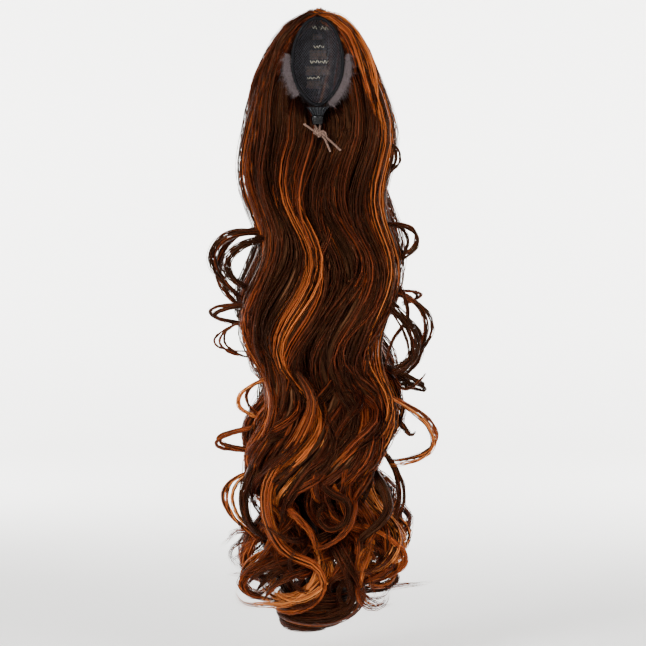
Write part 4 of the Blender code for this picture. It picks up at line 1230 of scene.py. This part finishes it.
# How far round the mouth the bundles start, in degrees from the top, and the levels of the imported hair
# that they pass over
CROWN_TURN = 80.0
CROWN_LEVELS = (0.012, 0.06, 0.14, 0.23, 0.32, 0.41, 0.50)
bundles = []
for number in range(CROWN_BUNDLES):
    across = (number + 0.5) / CROWN_BUNDLES * 2 - 1
    start = mouth_point(np.array(CROWN_TURN * across), 0.0050, 0.0040)
    over = start + np.array([0.008 * across, 0.012, 0.0055 * (1 - across**2)])
    turn = math.pi * (0.5 - 0.56 * across)
    outward = np.array([math.cos(turn), math.sin(turn), 0]) * CROWN_OFF
    stops = [start, over]
    for level in CROWN_LEVELS:
        stops.append(core_place(turn + 0.10 * math.sin(13 * level + 2 * across), level) + outward)
    route, _ = smooth_route(stops, CROWN_POINTS)
    share = np.linspace(0, 1, CROWN_POINTS)
    halves = CROWN_HALF_THICK * (0.5 + 0.5 * np.minimum(share * 4, 1)) * (1 - 0.6 * share**3)
    tone = np.clip(rng.normal(0.26 + 0.16 * across, 0.13), 0.04, 0.75)
    bundles.append(wisps_round(route, halves, 24, CROWN_WISP_WIDTHS, tone, 1.0, 0.2))
hair_piece("crown_back_hair", bundles, 0.5, 3)


# The wefts: bands of hair folded over and stitched across the outside of the net, which show through
# it as rows of brown, with the pale thread of the tape that they are sewn to between them
WEFT_PITCH = 0.00075
# For each band, from the top, the height of its middle as a share of the mouth's rise, and how tall and
# how wide it is as shares of the mouth's half width
WEFT_ROWS = ((0.66, 0.20, 0.36), (0.27, 0.36, 0.66), (-0.09, 0.38, 0.94), (-0.41, 0.30, 0.86))
weft_look, weft_tree, weft_shader = new_material("stitched_weft_hair", 0.5, Specular_IOR_Level=0.4)
weft_tint = add_node(weft_tree, "ShaderNodeAttribute", {"attribute_name": "tint"})
weft_tree.links.new(weft_tint.outputs["Color"], weft_shader.inputs["Base Color"])


def on_net(x, z, out):
    """Points at x, z on the net that lie out metres behind its threads."""
    depth, _ = cup_depth(x, z, NET_WALL)
    return np.stack([x, depth + out, z], axis=-1)


for number, (height, tall, wide) in enumerate(WEFT_ROWS, 1):
    middle = height * MOUTH_RISE
    half_tall = tall * MOUTH_HALF_WIDTH / 2
    half_wide = wide * MOUTH_HALF_WIDTH / 2
    columns = np.arange(-half_wide, half_wide, WEFT_PITCH)
    share = np.linspace(-1, 1, 9)
    strands = []
    for layer, out in enumerate((0.0004, 0.0011)):
        for x in columns:
            lean = rng.normal(0, 0.0009)
            edge = half_tall * rng.uniform(0.85, 1.12)
            strands.append(on_net(x + lean * share + layer * WEFT_PITCH / 2, middle + share * edge, out))
    strands = np.array(strands)
    tints = rng.uniform(0.35, 1.5, (len(strands), 1, 1)) * np.array(linear("#5a3f30"))
    weft = joined_tubes(f"weft_row_{number}_hair", strands, BACKWARD, 0.00032, 0.00042, 4, tints)
    finish_piece(weft, weft_look, "weft", f"weft_row_{number}")
    # Two lines of lock stitch hold each band down
    track = []
    for up in (-0.55, 0.55):
        x = np.linspace(-half_wide, half_wide, 60)
        zigzag = 0.0004 * np.sin(np.arange(60) * math.pi / 2)
        track.append(on_net(x, middle + up * half_tall + zigzag, 0.0001))
    seam = joined_tubes(f"weft_row_{number}_seam", np.array(track), BACKWARD, 0.00018, 0.00018, 5)
    finish_piece(seam, nylon, "weft")

# The pale tape stitches, one row for each line of them: its height, and its left and right ends
TAPE_ROWS = (
    (0.0415, -0.0058, 0.0140),
    (0.0218, -0.0040, 0.0080),
    (0.0052, -0.0075, 0.0118),
    (-0.0124, -0.0113, 0.0030),
)
TAPE_PITCH = 0.0021
stitches = []
for height, left, right in TAPE_ROWS:
    for number, x in enumerate(np.arange(left, right, TAPE_PITCH)):
        slant = 1 if number % 2 else -1
        share = np.linspace(-1, 1, 6)
        z = height + share * slant * rng.uniform(0.0010, 0.0016) + rng.normal(0, 0.0004)
        stitches.append(on_net(x + share * 0.0007, z, -0.0007 - 0.0003 * (1 - share**2)))
tape = joined_tubes("weft_tape_stitches", np.array(stitches), BACKWARD, 0.00062, 0.00030, 6)
tape_look, tape_tree, tape_shader = new_material("waxed_cotton_thread", 0.7, Specular_IOR_Level=0.3)
mottled(tape_tree, tape_shader, "#c2b592", "#f2ecd8", 0.0012, relief=0.0001)
finish_piece(tape, tape_look, "weft")


# The flyaways: single hairs that have worked loose and stand off the outline
FLYAWAYS = 44
FLYAWAY_WIDTHS = (0.00022, 0.00034)
bundles = []
for _ in range(FLYAWAYS):
    own = dict(locks[rng.integers(0, len(locks))])
    own["x"] *= rng.uniform(0.95, 1.06)
    own["swing"] *= rng.uniform(0.9, 1.3)
    own["phase"] += rng.uniform(-0.12, 0.12)
    own["end"] = min(own["end"] + rng.uniform(-0.3, 0.02), 0.975)
    line, halves = lock_line(own, WISP_POINTS)
    tone = rng.uniform(0.2, 0.7)
    bundles.append(wisps_round(line, halves * 0.7, 2, FLYAWAY_WIDTHS, tone, 2.0))
hair_piece("flyaway_hairs", bundles, 1.0, 3)


# The studio: a pale round floor of paper that sweeps up far outside every camera, soft lights and a level
# camera, straight in front of the cup's mouth
FLOOR = cad_box[0][2] - 0.03
COVE = ((0.0, FLOOR), (5.0, FLOOR), (5.6, FLOOR + 0.10), (5.9, FLOOR + 0.45), (6.0, FLOOR + 1.0), (6.0, 2.4))
cove = bmesh.new()
rim = [cove.verts.new((radius, 0, z)) for radius, z in COVE]
profile = [cove.edges.new(pair) for pair in zip(rim, rim[1:])]
bmesh.ops.spin(
    cove, geom=rim + profile, cent=(0, 0, 0), axis=(0, 0, 1), angle=2 * math.pi, steps=96, use_merge=True
)
bmesh.ops.remove_doubles(cove, verts=cove.verts, dist=1e-5)
bmesh.ops.recalc_face_normals(cove, faces=cove.faces)
for face in cove.faces:
    face.smooth = True
cove_mesh = bpy.data.meshes.new("studio_cove")
cove.to_mesh(cove_mesh)
cove.free()
studio = new_object("studio_cove", cove_mesh)
paper, _, paper_shader = new_material("white_backdrop_paper", 0.9, "#fbfaf8", Specular_IOR_Level=0.1)
# The paper is lit evenly from behind, so that it stays near white from every side
paper_shader.inputs["Emission Color"].default_value = (*linear("#fbfaf8"), 1)
paper_shader.inputs["Emission Strength"].default_value = 0.50
studio.data.materials.append(paper)

middle = (Vector(cad_box[0]) + Vector(cad_box[1])) / 2
# Each light's name, place, size, power and the point that it lights, from the object's middle
LIGHTS = (
    ("key_softbox", (-1.3, -1.9, 1.1), 0.9, 80, (0, 0, 0)),
    ("fill_softbox", (1.5, -1.9, 1.3), 1.0, 27, (0, 0, -0.30)),
    ("wall_left", (-2.6, 2.4, 0.9), 1.6, 380, (0, 6.0, 0.9)),
    ("wall_right", (2.6, 2.4, 0.9), 1.6, 380, (0, 6.0, 0.9)),
    ("rear_softbox", (0.9, 1.7, 1.2), 1.0, 30, (0, 0, 0)),
)
for name, place, size, power, target in LIGHTS:
    lamp = bpy.data.lights.new(name, "AREA")
    lamp.size = size
    lamp.energy = power
    light = new_object(name, lamp)
    light.location = middle + Vector(place)
    light.rotation_euler = (Vector(target) - Vector(place)).to_track_quat("-Z", "Y").to_euler()
world = bpy.data.worlds.new("studio_air")
bpy.context.scene.world = world
world.use_nodes = True
world.node_tree.nodes["Background"].inputs["Color"].default_value = (1.0, 0.98, 0.96, 1)
world.node_tree.nodes["Background"].inputs["Strength"].default_value = 0.26

lens = bpy.data.cameras.new("camera")
camera = new_object("camera", lens)
bpy.context.scene.camera = camera
DISTANCE = 2.9
VIEW_HEIGHT = 0.718
lens.lens = 100
lens.sensor_width = lens.lens * VIEW_HEIGHT / DISTANCE
camera.location = middle + Vector((0, -DISTANCE, 0))
camera.rotation_euler = (math.pi / 2, 0, 0)
